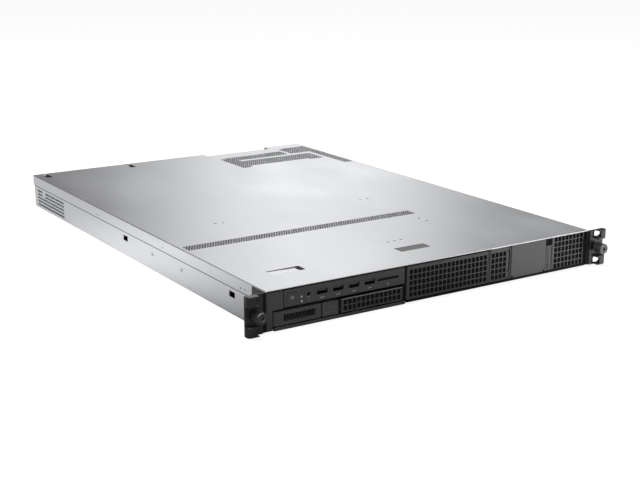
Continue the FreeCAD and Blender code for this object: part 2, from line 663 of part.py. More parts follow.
def ring(owner, feature, drawing, count):
    """Copies of a feature round the axis that stands on a sketch's origin."""
    pattern = owner.newObject("PartDesign::PolarPattern", "pattern")
    pattern.Originals = [feature]
    pattern.Axis = (drawing, ["N_Axis"])
    pattern.Angle = 360
    bind(pattern, "Occurrences", count)
    owner.Tip = pattern
    return pattern


def edges_along(shape, axis, test=lambda middle: True):
    """Names of a shape's straight edges along X, Y or Z whose middle passes a test."""
    names = []
    for i, edge in enumerate(shape.Edges, start=1):
        if edge.Curve.TypeId != "Part::GeomLine":
            continue
        run = edge.Vertexes[-1].Point - edge.Vertexes[0].Point
        if abs(getattr(run, axis)) > 0.999 * run.Length and test(edge.CenterOfMass):
            names.append("Edge%d" % i)
    return names


def round_edges(owner, base, names, radius):
    feature = owner.newObject("PartDesign::Fillet", "fillet")
    feature.Base = (base, names)
    bind(feature, "Radius", radius)
    return feature


# ---------------------------------------------------------------- chassis

def chassis_pan():
    """Folded tray: floor, side walls with rail holes and vent slots, and the front lip."""
    pan = body("pan")
    length = "rear_end - frame_front"
    along = "(rear_end + frame_front) / 2"
    pad(pan, rectangle(pan, "XY_Plane", "2 * wall_out", length, 0, along, 0), "pan_metal")
    doc.recompute()
    for side in (-1, 1):
        wall = rectangle(pan, "XY_Plane", "pan_metal", length,
                         "%d * (wall_out - pan_metal / 2)" % side, along, "pan_metal")
        pad(pan, wall, "rim - pan_metal")
    bays = "(io_right + bay_left) / 2"
    tongue = rectangle(pan, "XY_Plane", "io_right - bay_left", "frame_front - lip_front", bays,
                       "(frame_front + lip_front) / 2", 0)
    pad(pan, tongue, "pan_metal")
    lip = rectangle(pan, "XY_Plane", "io_right - bay_left", "pan_metal", bays,
                    "lip_front + pan_metal / 2", "pan_metal")
    pad(pan, lip, "lip_height - pan_metal")
    for along in ("rail_hole_front", "rail_hole_rear"):
        hole = rectangle(pan, "YZ_Plane", "rail_hole_long", "rail_hole_high", along, "rail_hole_level", 0)
        pocket(pan, hole)
    upper = "louvre_bottom + 3 * louvre_pitch"
    rest = "louvre_length - louvre_short - louvre_bridge"
    slots = (("louvre_length", "louvre_rear - louvre_length / 2", "louvre_bottom", 3),
             ("louvre_short", "louvre_rear - louvre_short / 2", upper, 2),
             (rest, "louvre_rear - louvre_length + (%s) / 2" % rest, upper, 2))
    for long, middle, level, rows in slots:
        slot = rectangle(pan, "YZ_Plane", long, "louvre_height", middle, level, 0)
        repeat(pan, pocket(pan, slot), slot, "V_Axis", "louvre_pitch", rows)
    notch = rectangle(pan, "XY_Plane", "recess_width", "recess_depth", "recess_middle",
                      "rear_end - recess_depth / 2", 0)
    pocket(pan, notch)
    return keep(pan, "chassis_pan")


def rear_panel():
    """The folded rear wall: two flat ends and a middle stretch that is set back."""
    panel = body("rear_panel")
    left = S.divider_x + S.divider_metal + S.fit_gap
    right = S.wall_in
    back = S.rear_end
    metal = S.pan_metal
    inner = back - S.recess_depth
    plan = [(left, back), (S.recess_left, back), (S.recess_left, inner), (S.recess_right, inner),
            (S.recess_right, back), (right, back), (right, back - metal),
            (S.recess_right + metal, back - metal), (S.recess_right + metal, inner - metal),
            (S.recess_left - metal, inner - metal), (S.recess_left - metal, back - metal),
            (left, back - metal)]
    pad(panel, outline(panel, "XY_Plane", "pan_metal", plan), "rim - pan_metal")
    doc.recompute()
    behind = "-rear_end - 2"
    for x, wide, high in REAR_PORTS:
        window = rectangle(panel, "XZ_Plane", "%s + 2 * fit_gap" % wide, "%s + 2 * fit_gap" % high,
                           "recess_left + %s" % x, "board_high + %s / 2" % high, behind)
        pocket(panel, window, "recess_depth / 2", True)
    slot = rectangle(panel, "XZ_Plane", "recess_width - 2 * card_slot_margin", "card_slot_height",
                     "recess_middle", "card_level", behind)
    pocket(panel, slot, "recess_depth + 4", True)
    for first, columns, rows, low, depth in REAR_VENTS:
        hole = rectangle(panel, "XZ_Plane", "rear_vent_width", "rear_vent_height", first, low, behind)
        repeat(panel, pocket(panel, hole, depth, True), hole, "H_Axis", "rear_vent_pitch", columns,
               "V_Axis", "rear_vent_rise", rows)
    return keep(panel, "rear_panel")


def psu_divider():
    """L-shaped sheet beside the power supplies."""
    wall = body("psu_divider")
    x = S.divider_x
    foot = S.pan_metal
    metal = S.divider_metal
    profile = [(x, foot), (x + S.divider_foot, foot), (x + S.divider_foot, foot + metal),
               (x + metal, foot + metal), (x + metal, S.rim), (x, S.rim)]
    stop = "(rear_end - pan_metal - fit_gap)"
    pad(wall, outline(wall, "XZ_Plane", "-" + stop, profile), stop + " - board_neck")
    return keep(wall, "psu_divider")


# ---------------------------------------------------------------- rack ears

def ear_bracket():
    """Folded steel: a flange on the case side and a plate on the rack plane, right-hand side."""
    bracket = body("ear_bracket")
    inner = S.wall_out
    outer = S.ear_end - S.ear_edge
    plan = [(inner, S.ear_return), (inner, -S.ear_metal), (outer, -S.ear_metal), (outer, 0),
            (inner + S.ear_side_metal, 0), (inner + S.ear_side_metal, S.ear_return)]
    low = "mid_level - ear_height / 2 + ear_edge"
    pad(bracket, outline(bracket, "XY_Plane", low, plan), "ear_height - 2 * ear_edge")
    doc.recompute()
    pocket(bracket, circle(bracket, "XZ_Plane", "screw_radius + spin_gap", "screw_x", "mid_level", 0))
    radius = S.rack_slot_high / 2
    half = S.rack_slot_long / 2 - radius
    for level in SLOT_LEVELS:
        drawing = sketch(bracket, "XZ_Plane", "slot_x", level, 0)
        drawing.addGeometry(Part.LineSegment(V(-half, radius, 0), V(half, radius, 0)))
        drawing.addGeometry(Part.LineSegment(V(half, -radius, 0), V(-half, -radius, 0)))
        drawing.addGeometry(Part.Arc(V(half, radius, 0), V(half + radius, 0, 0), V(half, -radius, 0)))
        drawing.addGeometry(Part.Arc(V(-half, -radius, 0), V(-half - radius, 0, 0), V(-half, radius, 0)))
        pocket(bracket, drawing)
    return keep(bracket, "ear_bracket_right")


def ear_cap():
    """Moulded skin with a hood round each rack slot, right-hand side."""
    cap = body("ear_cap")
    skin = rectangle(cap, "XZ_Plane", "ear_end - ear_start", "ear_height", "(ear_end + ear_start) / 2",
                     "mid_level", "ear_metal")
    pad(cap, skin, "ear_cap_skin")
    for side in (-1, 1):
        hood = rectangle(cap, "XZ_Plane", "hood_width", "hood_height", "ear_end - hood_width / 2",
                         "mid_level + %d * (ear_height - hood_height) / 2" % side, "ear_metal")
        pad(cap, hood, "ear_cap_skin + hood_reach")
    doc.recompute()
    corners = edges_along(cap.Shape, "z",
                          lambda at: at.x > S.ear_end - NEAR and at.y < S.hood_front + NEAR)
    round_edges(cap, cap.Tip, corners, "hood_corner")
    doc.recompute()
    long = S.rack_slot_long / 2 + S.slot_margin
    high = S.rack_slot_high / 2 + S.slot_margin
    corner = S.window_corner
    window = [(-long + corner, -high), (long - corner, -high), (long, -high + corner),
              (long, high - corner), (long - corner, high), (-long + corner, high),
              (-long, high - corner), (-long, -high + corner)]
    for level in SLOT_LEVELS:
        pocket(cap, moved(outline(cap, "XZ_Plane", 0, window), "slot_x", level))
    collar = prism("Y", "screw_x", "hood_front", "mid_level", COLLAR_HOLE_SIDES,
                   "collar_radius + collar_room", "-hood_front")
    return keep(cut(cap, collar), "ear_cap_right")


def thumbscrew():
    """Captive screw: threaded end, neck, collar and knurled knob with a hexagon socket, right-hand side."""
    knob_back = "-(ear_metal + collar_length)"
    front = knob_back + " - knob_length"
    thread = rod("Y", "screw_x", "neck_end", "mid_level", "screw_radius", "screw_point - neck_end")
    neck = prism("Y", "screw_x", knob_back, "mid_level", SCREW_SIDES, "neck_radius",
                 "ear_metal + collar_length + 2 * neck_end")
    collar = prism("Y", "screw_x", knob_back, "mid_level", "knurl_flats", "collar_radius", "collar_length")
    knob = prism("Y", "screw_x", front, "mid_level", "knurl_flats", "knob_radius", "knob_length")
    socket = prism("Y", "screw_x", front, "mid_level", 6, "socket_radius", "socket_depth")
    return keep(cut(fuse(thread, neck, collar, knob), socket), "thumbscrew_right")


# ---------------------------------------------------------------- front

def front_frame():
    """Moulded frame behind the bezel modules, open behind each of them, with a rail and a post."""
    inner = "(wall_in - fit_gap)"
    height = "face_top - pan_metal"
    frame = box("-" + inner, "frame_front", "pan_metal", "2 * " + inner, "frame_depth", height)
    rail = box("centre_left", "face_y", "rail_bottom", "wall_out - centre_left", "face_skin",
               "face_bottom - seam / 2 - rail_bottom")
    post_left = "right_end + seam / 2"
    post = box(post_left, "face_y", "rail_bottom", "wall_out - (%s)" % post_left, "face_skin",
               "rim - rail_bottom")
    tie = box(post_left, "face_y", "pan_metal", "%s - (%s)" % (inner, post_left),
              "face_skin + frame_depth", height)
    low = "pan_metal + frame_rib"
    high = "face_top - frame_rib"
    openings = [
        ("badge_right + frame_rib / 2", "io_right - frame_rib / 2", "io_bottom + seam", high),
        ("bay_left - frame_room", "bays_right + frame_room", "bay_bottom - frame_room",
         "bay_bottom + bay_height + frame_room"),
        ("centre_left + frame_rib", "centre_right - frame_rib", low, high),
        ("centre_right + frame_rib", "narrow_right - frame_rib", low, high),
        ("blank_right + seam", "strip_right", "face_bottom + strip_height + seam", high),
        ("strip_right + frame_rib", "right_end - frame_rib", low, high),
    ]
    tools = [box(x0, "frame_front - 1", z0, "(%s) - (%s)" % (x1, x0), "frame_depth + 2",
                 "(%s) - (%s)" % (z1, z0)) for x0, x1, z0, z1 in openings]
    return keep(fuse(cut(frame, *tools), rail, post, tie), "front_frame")


def face_plate(x0, x1, z0, z1):
    """A flat module of the bezel."""
    return box(x0, "face_y", z0, "(%s) - (%s)" % (x1, x0), "face_skin", "(%s) - (%s)" % (z1, z0))


def badge_panel():
    """Blank panel: full height at the left, narrower beside the drive bays."""
    left = "-wall_out"
    upper = face_plate(left, "badge_right", "io_bottom - seam", "face_top")
    lower = face_plate(left, "bay_left - seam", "rail_bottom", "io_bottom - seam")
    return keep(fuse(upper, lower), "badge_panel")


def io_panel():
    """Input and output panel with its openings."""
    panel = face_plate("badge_right + seam", "io_right", "io_bottom", "face_top")
    before = "face_y - 1"
    through = "face_skin + 2"
    tools = [box("port_first + %d * port_pitch - (port_width + fit_gap) / 2" % i, before,
                 "port_level - (port_height + fit_gap) / 2", "port_width + fit_gap", through,
                 "port_height + fit_gap") for i in range(S.port_count)]
    side = "(power_size + 2 * fit_gap)"
    tools.append(box("power_x - %s / 2" % side, before, "power_level - %s / 2" % side, side, through, side))
    tools.append(box("tab_left - fit_gap", before, "port_level - tab_height / 2 - fit_gap",
                     "tab_width + 2 * fit_gap", through, "tab_height + 2 * fit_gap"))
    for x, z, radius in LENSES + (SERVICE_HOLE,):
        tools.append(prism("Y", x, before, z, SCREW_SIDES, radius, through))
    return keep(cut(panel, *tools), "io_panel")


def status_lenses():
    """Light guides of the status lights."""
    lenses = [prism("Y", x, "face_y + lens_depth", z, SCREW_SIDES, "%s - lens_gap" % radius,
                    "face_skin - lens_depth") for x, z, radius in LENSES]
    return keep(group(*lenses), "status_lenses")


def power_button():
    """Square push button with rounded corners and a flange behind the panel."""
    button = body("power_button")
    face = rectangle(button, "XZ_Plane", "power_size", "power_size", "power_x", "power_level", "-face_y")
    pad(button, face, "face_skin + power_proud", True)
    doc.recompute()
    round_edges(button, button.Tip, edges_along(button.Shape, "y"), "power_round")
    doc.recompute()
    side = "power_size + 2 * power_flange"
    flange = rectangle(button, "XZ_Plane", side, side, "power_x", "power_level",
                       "-frame_front - fit_gap / 2")
    pad(button, flange, "power_flange_skin", True)
    return keep(button, "power_button")


def front_ports():
    """Metal port shells and the tongue inside each."""
    pieces = []
    front = "face_y + port_inset"
    for i in range(S.port_count):
        x = "(port_first + %d * port_pitch)" % i
        low = "port_level - port_height / 2"
        shell = box(x + " - port_width / 2", front, low, "port_width", "port_depth", "port_height")
        hollow = box(x + " - port_width / 2 + port_metal", front + " - 1", low + " + port_metal",
                     "port_width - 2 * port_metal", "port_depth", "port_height - 2 * port_metal")
        tongue = box(x + " - tongue_width / 2", front + " + tongue_inset", "port_level + port_metal",
                     "tongue_width", "port_depth - tongue_inset", "tongue_high")
        pieces.append(fuse(cut(shell, hollow), tongue))
    return keep(group(*pieces), "front_ports")


def info_tab():
    """Pull-out tab that fills its groove in the panel."""
    tab = box("tab_left", "face_y + tab_inset", "port_level - tab_height / 2", "tab_width", "tab_length",
              "tab_height")
    return keep(tab, "info_tab")


def io_board():
    """Circuit board that carries the front ports."""
    left = "badge_right + io_board_margin"
    board = box(left, "frame_back - frame_depth / 2", "port_level - port_height / 2 - board_metal",
                "tab_left - 2 * io_board_margin - (%s)" % left, "io_board_depth", "board_metal")
    return keep(board, "io_board")


def grille(label, x0, x1, z1, rows, first_z, inset=None):
    """Bezel module with a grid of rectangular holes, in its middle or from its left side."""
    panel = body(label)
    wide = "((%s) - (%s))" % (x1, x0)
    plate = rectangle(panel, "XZ_Plane", wide, "%s - face_bottom" % z1, "((%s) + (%s)) / 2" % (x0, x1),
                      "(face_bottom + %s) / 2" % z1, "-face_y")
    pad(panel, plate, "face_skin", True)
    doc.recompute()
    columns = "floor((%s - grille_margin) / grille_pitch_x)" % wide
    first = ("(%s) + %s" % (x0, inset) if inset else
             "((%s) + (%s) - (%s - 1) * grille_pitch_x) / 2" % (x0, x1, columns))
    hole = rectangle(panel, "XZ_Plane", "grille_hole", "grille_hole_high", first, first_z, "-face_y")
    repeat(panel, pocket(panel, hole, "face_skin + 1"), hole, "H_Axis", "grille_pitch_x", columns,
           "V_Axis", "grille_pitch_z", rows)
    return keep(panel, label)


def front_grilles():
    """The open modules of the bezel, with their hole grids."""
    middle_first = "grille_level - 2 * grille_pitch_z"
    right_first = "grille_level + right_raise - 2.5 * grille_pitch_z"
    grille("grille_centre", "centre_left", "centre_right", "face_top", 5, middle_first)
    grille("grille_narrow", "centre_right + seam", "narrow_right", "rim", 5, middle_first, "narrow_inset")
    grille("grille_right", "strip_right + seam", "right_end", "rim", 6, right_first, "right_inset")


def blank_panel():
    """Plain panel between the right-hand grilles, a little proud, with notches at its foot."""
    x0 = "narrow_right + seam"
    panel = box(x0, "face_y - blank_proud", "face_bottom", "blank_width", "face_skin + blank_proud",
                "rim - face_bottom")
    notches = [box(x, "face_y - blank_proud - 1", "face_bottom - 1", "blank_notch", "blank_notch + 1",
                   "blank_notch + 1") for x in (x0 + " + seam", "blank_right - seam - blank_notch")]
    return keep(cut(panel, *notches), "blank_panel")


def latch_strip():
    """Narrow strip below the open slot beside the blank panel."""
    strip = box("blank_right + seam", "face_y", "face_bottom", "strip_width", "face_skin", "strip_height")
    return keep(strip, "latch_strip")


# ---------------------------------------------------------------- drive bays



def drive_cage():
    """Sheet-metal tunnel with two bays, standing on the chassis floor."""
    cage = body("drive_cage")
    metal = S.cage_metal
    low = S.bay_bottom - S.bay_gap
    high = S.bay_bottom + S.bay_height + S.bay_gap
    left = S.bay_left - S.bay_gap
    right = S.bays_right + S.bay_gap
    divider = (S.bay_left + S.bays_right) / 2
    foot = S.pan_metal
    skin = [(left - metal, foot), (left, foot), (left, low - metal), (right, low - metal),
            (right, foot), (right + metal, foot), (right + metal, high + metal),
            (left - metal, high + metal)]
    tunnels = [[(x0, low), (x1, low), (x1, high), (x0, high)]
               for x0, x1 in ((left, divider - metal / 2), (divider + metal / 2, right))]
    pad(cage, outline(cage, "XZ_Plane", "-cage_end", skin, *tunnels), "cage_end - frame_back")
    return keep(cage, "drive_cage")


def drive_carrier():
    """Tray of a drive: two rails, and a ribbed crossbar with the lever's knuckle."""
    carrier = body("drive_carrier")
    bar = rectangle(carrier, "XZ_Plane", "bay_width", "bay_height", "bay_left + bay_width / 2",
                    "bay_level", "-bar_front")
    pad(carrier, bar, "bar_skin", True)
    doc.recompute()
    for middle in ("bay_left + carrier_rail / 2", "bay_left + bay_width - carrier_rail / 2"):
        drawing = rectangle(carrier, "XZ_Plane", "carrier_rail", "bay_height - rail_drop", middle,
                            "bay_level - rail_drop / 2", "-bar_front")
        pad(carrier, drawing, "carrier_length + face_y - bar_front", True)
    wide = S.knuckle_radius
    slant = wide * math.tan(math.pi / 8)
    nose = [(-wide, S.lever_skin), (-wide, -slant), (-slant, -wide), (slant, -wide), (wide, -slant),
            (wide, S.lever_skin)]
    knuckle = outline(carrier, "XY_Plane", "bay_level - knuckle_height / 2", nose)
    pad(carrier, moved(knuckle, "lever_x", "lever_y"), "knuckle_height")
    doc.recompute()
    through = "bar_skin + 1"
    slot = rectangle(carrier, "XZ_Plane", "bar_slot", "bar_slot_high", "bay_left + bar_slot_place",
                     "bay_level", "-bar_front")
    repeat(carrier, pocket(carrier, slot, through), slot, "H_Axis", "bar_slot_pitch", "bar_slot_count")
    hole = "stem_side + 2 * fit_gap"
    pocket(carrier, rectangle(carrier, "XZ_Plane", hole, hole, "button_x", "bay_level", "-bar_front"),
           through)
    pocket(carrier, circle(carrier, "XY_Plane", "pin_radius + spin_gap", "lever_x", "lever_y", 0))
    return keep(carrier, "drive_carrier")


def carrier_lever():
    """Swinging lever with a long finger opening, hinged on the carrier's knuckle."""
    lever = body("carrier_lever")
    plate = rectangle(lever, "XZ_Plane", "lever_length", "bay_height", "bay_left + lever_length / 2",
                      "bay_level", "-face_y")
    pad(lever, plate, "lever_skin", True)
    doc.recompute()
    ends = edges_along(lever.Shape, "z", lambda at: at.x < S.bay_left + NEAR)
    round_edges(lever, lever.Tip, ends, "lever_round")
    doc.recompute()
    opening = rectangle(lever, "XZ_Plane", "finger_width", "finger_high", "bay_left + finger_place",
                        "bay_level", "-face_y")
    pocket(lever, opening, "lever_skin + 1")
    notch = rectangle(lever, "XZ_Plane", "2 * pin_inset + 1", "knuckle_height + 3 * fit_gap", "lever_x",
                      "bay_level", "-(face_y + lever_nose)")
    pocket(lever, notch, "lever_skin")
    pocket(lever, circle(lever, "XY_Plane", "pin_radius + spin_gap", "lever_x", "lever_y", 0))
    return keep(lever, "carrier_lever")


def lever_pin():
    pin = rod("Z", "lever_x", "lever_y", "bay_bottom + pin_end", "pin_radius", "bay_height - 2 * pin_end")
    return keep(pin, "lever_pin")


def carrier_button():
    """Ribbed release button with a square stem."""
    button = body("carrier_button")
    block = rectangle(button, "XZ_Plane", "button_width", "bay_height", "button_x", "bay_level", "-face_y")
    pad(button, block, "button_depth", True)
    doc.recompute()
    stem = rectangle(button, "XZ_Plane", "stem_side", "stem_side", "button_x", "bay_level",
                     "-(face_y + button_depth)")
    pad(button, stem, "stem_length", True)
    doc.recompute()
    groove = rectangle(button, "XZ_Plane", "button_width - 4", "groove_high", "button_x",
                       "bay_level - groove_pitch", "-face_y")
    repeat(button, pocket(button, groove, "groove_deep"), groove, "V_Axis", "groove_pitch", "groove_count")
    return keep(button, "carrier_button")


def drive():
    """2.5 inch drive between the carrier's rails."""
    block = box("bay_left + carrier_rail", "face_y + carrier_length - drive_length",
                "bay_bottom + drive_rise", "drive_width", "drive_length", "drive_height")
    return keep(block, "disk_drive")


def drive_blank():
    """Filler of the second bay: a small grille with two rails behind it."""
    blank = body("drive_blank")
    left = "bay_left + bay_pitch"
    middle = "(bay_left + bay_pitch + bay_width / 2)"
    face = rectangle(blank, "XZ_Plane", "bay_width", "bay_height", middle, "bay_level", "-face_y")
    pad(blank, face, "face_skin", True)
    doc.recompute()
    for x in (left + " + blank_rail / 2", "bays_right - blank_rail / 2"):
        rail = rectangle(blank, "XZ_Plane", "blank_rail", "bay_height - rail_drop", x, "bay_level",
                         "-face_y")
        pad(blank, rail, "blank_rail_length", True)
    doc.recompute()
    columns = "floor((bay_width - grille_margin) / grille_pitch_x)"
    hole = rectangle(blank, "XZ_Plane", "grille_hole", "grille_hole_high",
                     "%s - (%s - 1) * grille_pitch_x / 2" % (middle, columns),
                     "bay_level - grille_pitch_z / 2", "-face_y")
    repeat(blank, pocket(blank, hole, "face_skin + 1"), hole, "H_Axis", "grille_pitch_x", columns,
           "V_Axis", "grille_pitch_z", 2)
    return keep(blank, "drive_blank")


def drive_backplane():
    """Circuit board across the rear of the cage, with a connector to the drive."""
    board = box("cage_left", "cage_end", "pan_metal", "cage_width", "board_metal", "backplane_height")
    plug = box("bay_left + (bay_width - plug_width) / 2", "cage_end - plug_depth",
               "bay_level - plug_height / 2", "plug_width", "plug_depth", "plug_height")
    return keep(fuse(board, plug), "drive_backplane")


# ---------------------------------------------------------------- fans



def fan_x(index):
    return "(%d - (fan_count - 1) / 2) * fan_pitch" % index


def fan_wall():
    """Sheet across the case with a square opening for each fan."""
    wall = body("fan_wall")
    width = "2 * (wall_in - fit_gap)"
    plate = rectangle(wall, "XZ_Plane", width, "rim - pan_metal - fit_gap", 0,
                      "(rim + pan_metal - fit_gap) / 2", "-fan_wall_y")
    pad(wall, plate, "cage_metal", True)
    doc.recompute()
    hole = rectangle(wall, "XZ_Plane", "2 * fan_bore", "2 * fan_bore", fan_x(0), "fan_level", "-fan_wall_y")
    repeat(wall, pocket(wall, hole, "cage_metal + 1"), hole, "H_Axis", "fan_pitch", "fan_count")
    return keep(wall, "fan_wall")


def fan_frame(index):
    """Square fan frame with a duct and a spider that carries the rotor's shaft."""
    x = fan_x(index)
    shell = box(x + " - fan_size / 2", "fan_front", "pan_metal", "fan_size", "fan_depth", "fan_size")
    duct = prism("Y", x, "fan_front - 1", "fan_level", DUCT_SIDES, "fan_bore", "fan_depth + 2")
    spider_y = "fan_front + fan_depth - spider_depth"
    reach = "(fan_bore + spider_root)"
    across = box(x + " - " + reach, spider_y, "fan_level - spider_width / 2", "2 * " + reach,
                 "spider_depth", "spider_width")
    upright = box(x + " - spider_width / 2", spider_y, "fan_level - " + reach, "spider_width",
                  "spider_depth", "2 * " + reach)
    boss = box(x + " - fan_hub / 2", spider_y, "fan_level - fan_hub / 2", "fan_hub", "spider_depth",
               "fan_hub")
    bearing = rod("Y", x, spider_y + " - 1", "fan_level", "shaft_radius + spin_gap", "spider_depth + 2")
    frame = cut(fuse(cut(shell, duct), across, upright, boss), bearing)
    return keep(frame, "fan_frame_%d" % (index + 1))


def fan_rotor(index):
    """Faceted hub with pitched blades, and the shaft through it."""
    rotor = body("fan_rotor_%d" % (index + 1))
    x = fan_x(index)
    start = "(fan_front + rotor_inset)"
    axis = circle(rotor, "XZ_Plane", "shaft_radius", x, "fan_level", "-" + start)
    pad(rotor, axis, "fan_depth - rotor_inset", True)
    turn = math.pi / S.blade_count
    rim = [(S.fan_hub * math.cos((i + 0.5) * turn), S.fan_hub * math.sin((i + 0.5) * turn))
           for i in range(2 * S.blade_count)]
    hub = moved(outline(rotor, "XZ_Plane", "-" + start, rim), x, "fan_level")
    pad(rotor, hub, "fan_depth - spider_depth - 2 * rotor_inset", True)
    doc.recompute()
    front = S.fan_front + 2 * S.rotor_inset
    back = S.fan_front + S.fan_depth - S.spider_depth - 2 * S.rotor_inset
    lean = S.blade_lean
    skin = S.blade_skin / 2
    blade = [(front, S.fan_level - lean - skin), (back, S.fan_level + lean - skin),
             (back, S.fan_level + lean + skin), (front, S.fan_level - lean + skin)]
    profile = outline(rotor, "YZ_Plane", "%s + blade_root" % x, blade)
    tip = math.sqrt((S.fan_bore - S.blade_tip_gap) ** 2 - (lean + 2 * skin) ** 2)
    ring(rotor, pad(rotor, profile, tip - S.blade_root), axis, "blade_count")
    return keep(rotor, "fan_rotor_%d" % (index + 1))


# ---------------------------------------------------------------- boards

def main_board():
    """Main circuit board, narrowed beside the power supplies and at the rear recess."""
    board = body("main_board")
    side = S.wall_in - S.board_edge_gap
    left = S.divider_x + S.divider_foot + S.board_edge_gap
    inner = S.recess_wall - S.cover_metal
    back = S.rear_end - S.pan_metal - S.board_rear_gap
    corner = S.recess_left - S.pan_metal - S.cover_metal
    plan = [(-side, S.board_front), (side, S.board_front), (side, inner), (corner, inner),
            (corner, back), (left, back), (left, S.board_neck), (-side, S.board_neck)]
    pad(board, outline(board, "XY_Plane", "board_low", plan), "board_metal")
    return keep(board, "main_board")


def processors():
    chips = [box("%d * cpu_x - cpu_side / 2" % side, "cpu_y - cpu_side / 2", "board_high", "cpu_side",
                 "cpu_side", "cpu_height") for side in (-1, 1)]
    return keep(group(*chips), "processors")


def heat_sink(side, label):
    """Finned block on a processor; the fins lie along the air flow."""
    sink = body(label)
    x = "%d * cpu_x" % side
    level = "board_high + cpu_height"
    base = rectangle(sink, "XY_Plane", "sink_width", "sink_length", x, "cpu_y", level)
    pad(sink, base, "sink_base")
    doc.recompute()
    step = "(sink_width - sink_fin) / (sink_fins - 1)"
    fin = rectangle(sink, "XY_Plane", "sink_fin", "sink_length",
                    "%s - sink_width / 2 + sink_fin / 2" % x, "cpu_y", level + " + sink_base")
    repeat(sink, pad(sink, fin, "sink_fin_height"), fin, "H_Axis", step, "sink_fins")
    return keep(sink, label)


def memory():
    """Three banks of memory modules in their sockets."""
    sockets = []
    modules = []
    for bank in BANKS:
        for i in range(S.dimm_count):
            x = "(%s + (%d - (dimm_count - 1) / 2) * dimm_pitch)" % (bank, i)
            sockets.append(box(x + " - socket_width / 2", "cpu_y - dimm_length / 2 - socket_end",
                               "board_high", "socket_width", "dimm_length + 2 * socket_end",
                               "socket_height"))
            modules.append(box(x + " - dimm_metal / 2", "cpu_y - dimm_length / 2",
                               "board_high + socket_height", "dimm_metal", "dimm_length",
                               "dimm_height + dimm_seat - socket_height"))
    keep(group(*sockets), "memory_sockets")
    keep(group(*modules), "memory_modules")


def air_baffle():
    """Moulded cover over the memory banks that leaves the heat sinks open."""
    inner = "(wall_in - baffle_inset)"
    length = "dimm_length + baffle_lip + baffle_rear"
    parts = [box("%s - bank_width / 2" % bank, "baffle_front", "baffle_level", "bank_width", length,
                 "baffle_skin") for bank in BANKS]
    parts.append(box("-" + inner, "baffle_front", "baffle_level", "2 * " + inner, "baffle_bridge",
                     "baffle_skin"))
    for x in ("-" + inner, inner + " - baffle_skin"):
        parts.append(box(x, "baffle_front", "board_high", "baffle_skin", "baffle_leg",
                         "baffle_level - board_high"))
    return keep(fuse(*parts), "air_baffle")


def rear_ports():
    """Connector shells on the rear edge of the main board."""
    shells = []
    for x, wide, high in REAR_PORTS:
        left = "recess_left + %s - %s / 2" % (x, wide)
        shell = box(left, "rear_end + board_rear_gap - rear_port_depth", "board_high", wide,
                    "rear_port_depth", high)
        hollow = box(left + " + rear_port_skin", "rear_end - rear_port_hollow",
                     "board_high + rear_port_skin", "%s - 2 * rear_port_skin" % wide,
                     "rear_port_depth", "%s - 2 * rear_port_skin" % high)
        shells.append(cut(shell, hollow))
    return keep(group(*shells), "rear_ports")


def expansion_card():
    """Card lying flat in the riser, with its bracket and a component block."""
    left = "recess_left + card_inset"
    wide = "(recess_width - card_margin)"
    middle = "%s + %s / 2" % (left, wide)
    level = "card_level - card_drop"
    top = level + " + board_metal"
    board = box(left, "recess_wall - bracket_inset - card_length", level, wide,
                "card_length + bracket_inset - bracket_metal / 2", "board_metal")
    bracket = box("recess_left + bracket_inset", "recess_wall - bracket_metal",
                  "card_level - (card_slot_height + bracket_rise) / 2", "recess_width - 2 * bracket_inset",
                  "bracket_metal", "card_slot_height + bracket_rise")
    chip = box(middle + " - chip_side / 2", "recess_wall - chip_back", top, "chip_side", "chip_side",
               "chip_height")
    ports = [box("%s + (%s) * card_port_width" % (middle, place),
                 "recess_wall - card_port_length + bracket_metal", top, "card_port_width",
                 "card_port_length", "card_port_height") for place in (-1.3, 0.3)]
    return keep(fuse(board, bracket, chip, *ports), "expansion_card")


def riser_board():
    """Upright board that joins the card to the main board."""
    x = "recess_right - riser_inset"
    board = box(x, "recess_wall - riser_back", "board_high", "board_metal", "riser_length",
                "riser_height")
    middle = "(recess_wall - riser_back + riser_length / 2)"
    socket = box(x + " + board_metal", middle + " - riser_socket_length / 2",
                 "card_level - card_drop - riser_socket_height / 2", "riser_socket_width",
                 "riser_socket_length", "riser_socket_height")
    return keep(fuse(board, socket), "riser_board")


# ---------------------------------------------------------------- power supplies

def psu(index):
    """Power supply: case with a handle, inlet, and a release latch that turns in a side channel."""
    name = "psu_%d" % (index + 1)
    left = "(psu_side + %d * (psu_width + psu_gap))" % index
    psu_case(name, left)
    psu_inlet(name, left)
    psu_latch(name, "(%s + psu_width - latch_inset)" % left)


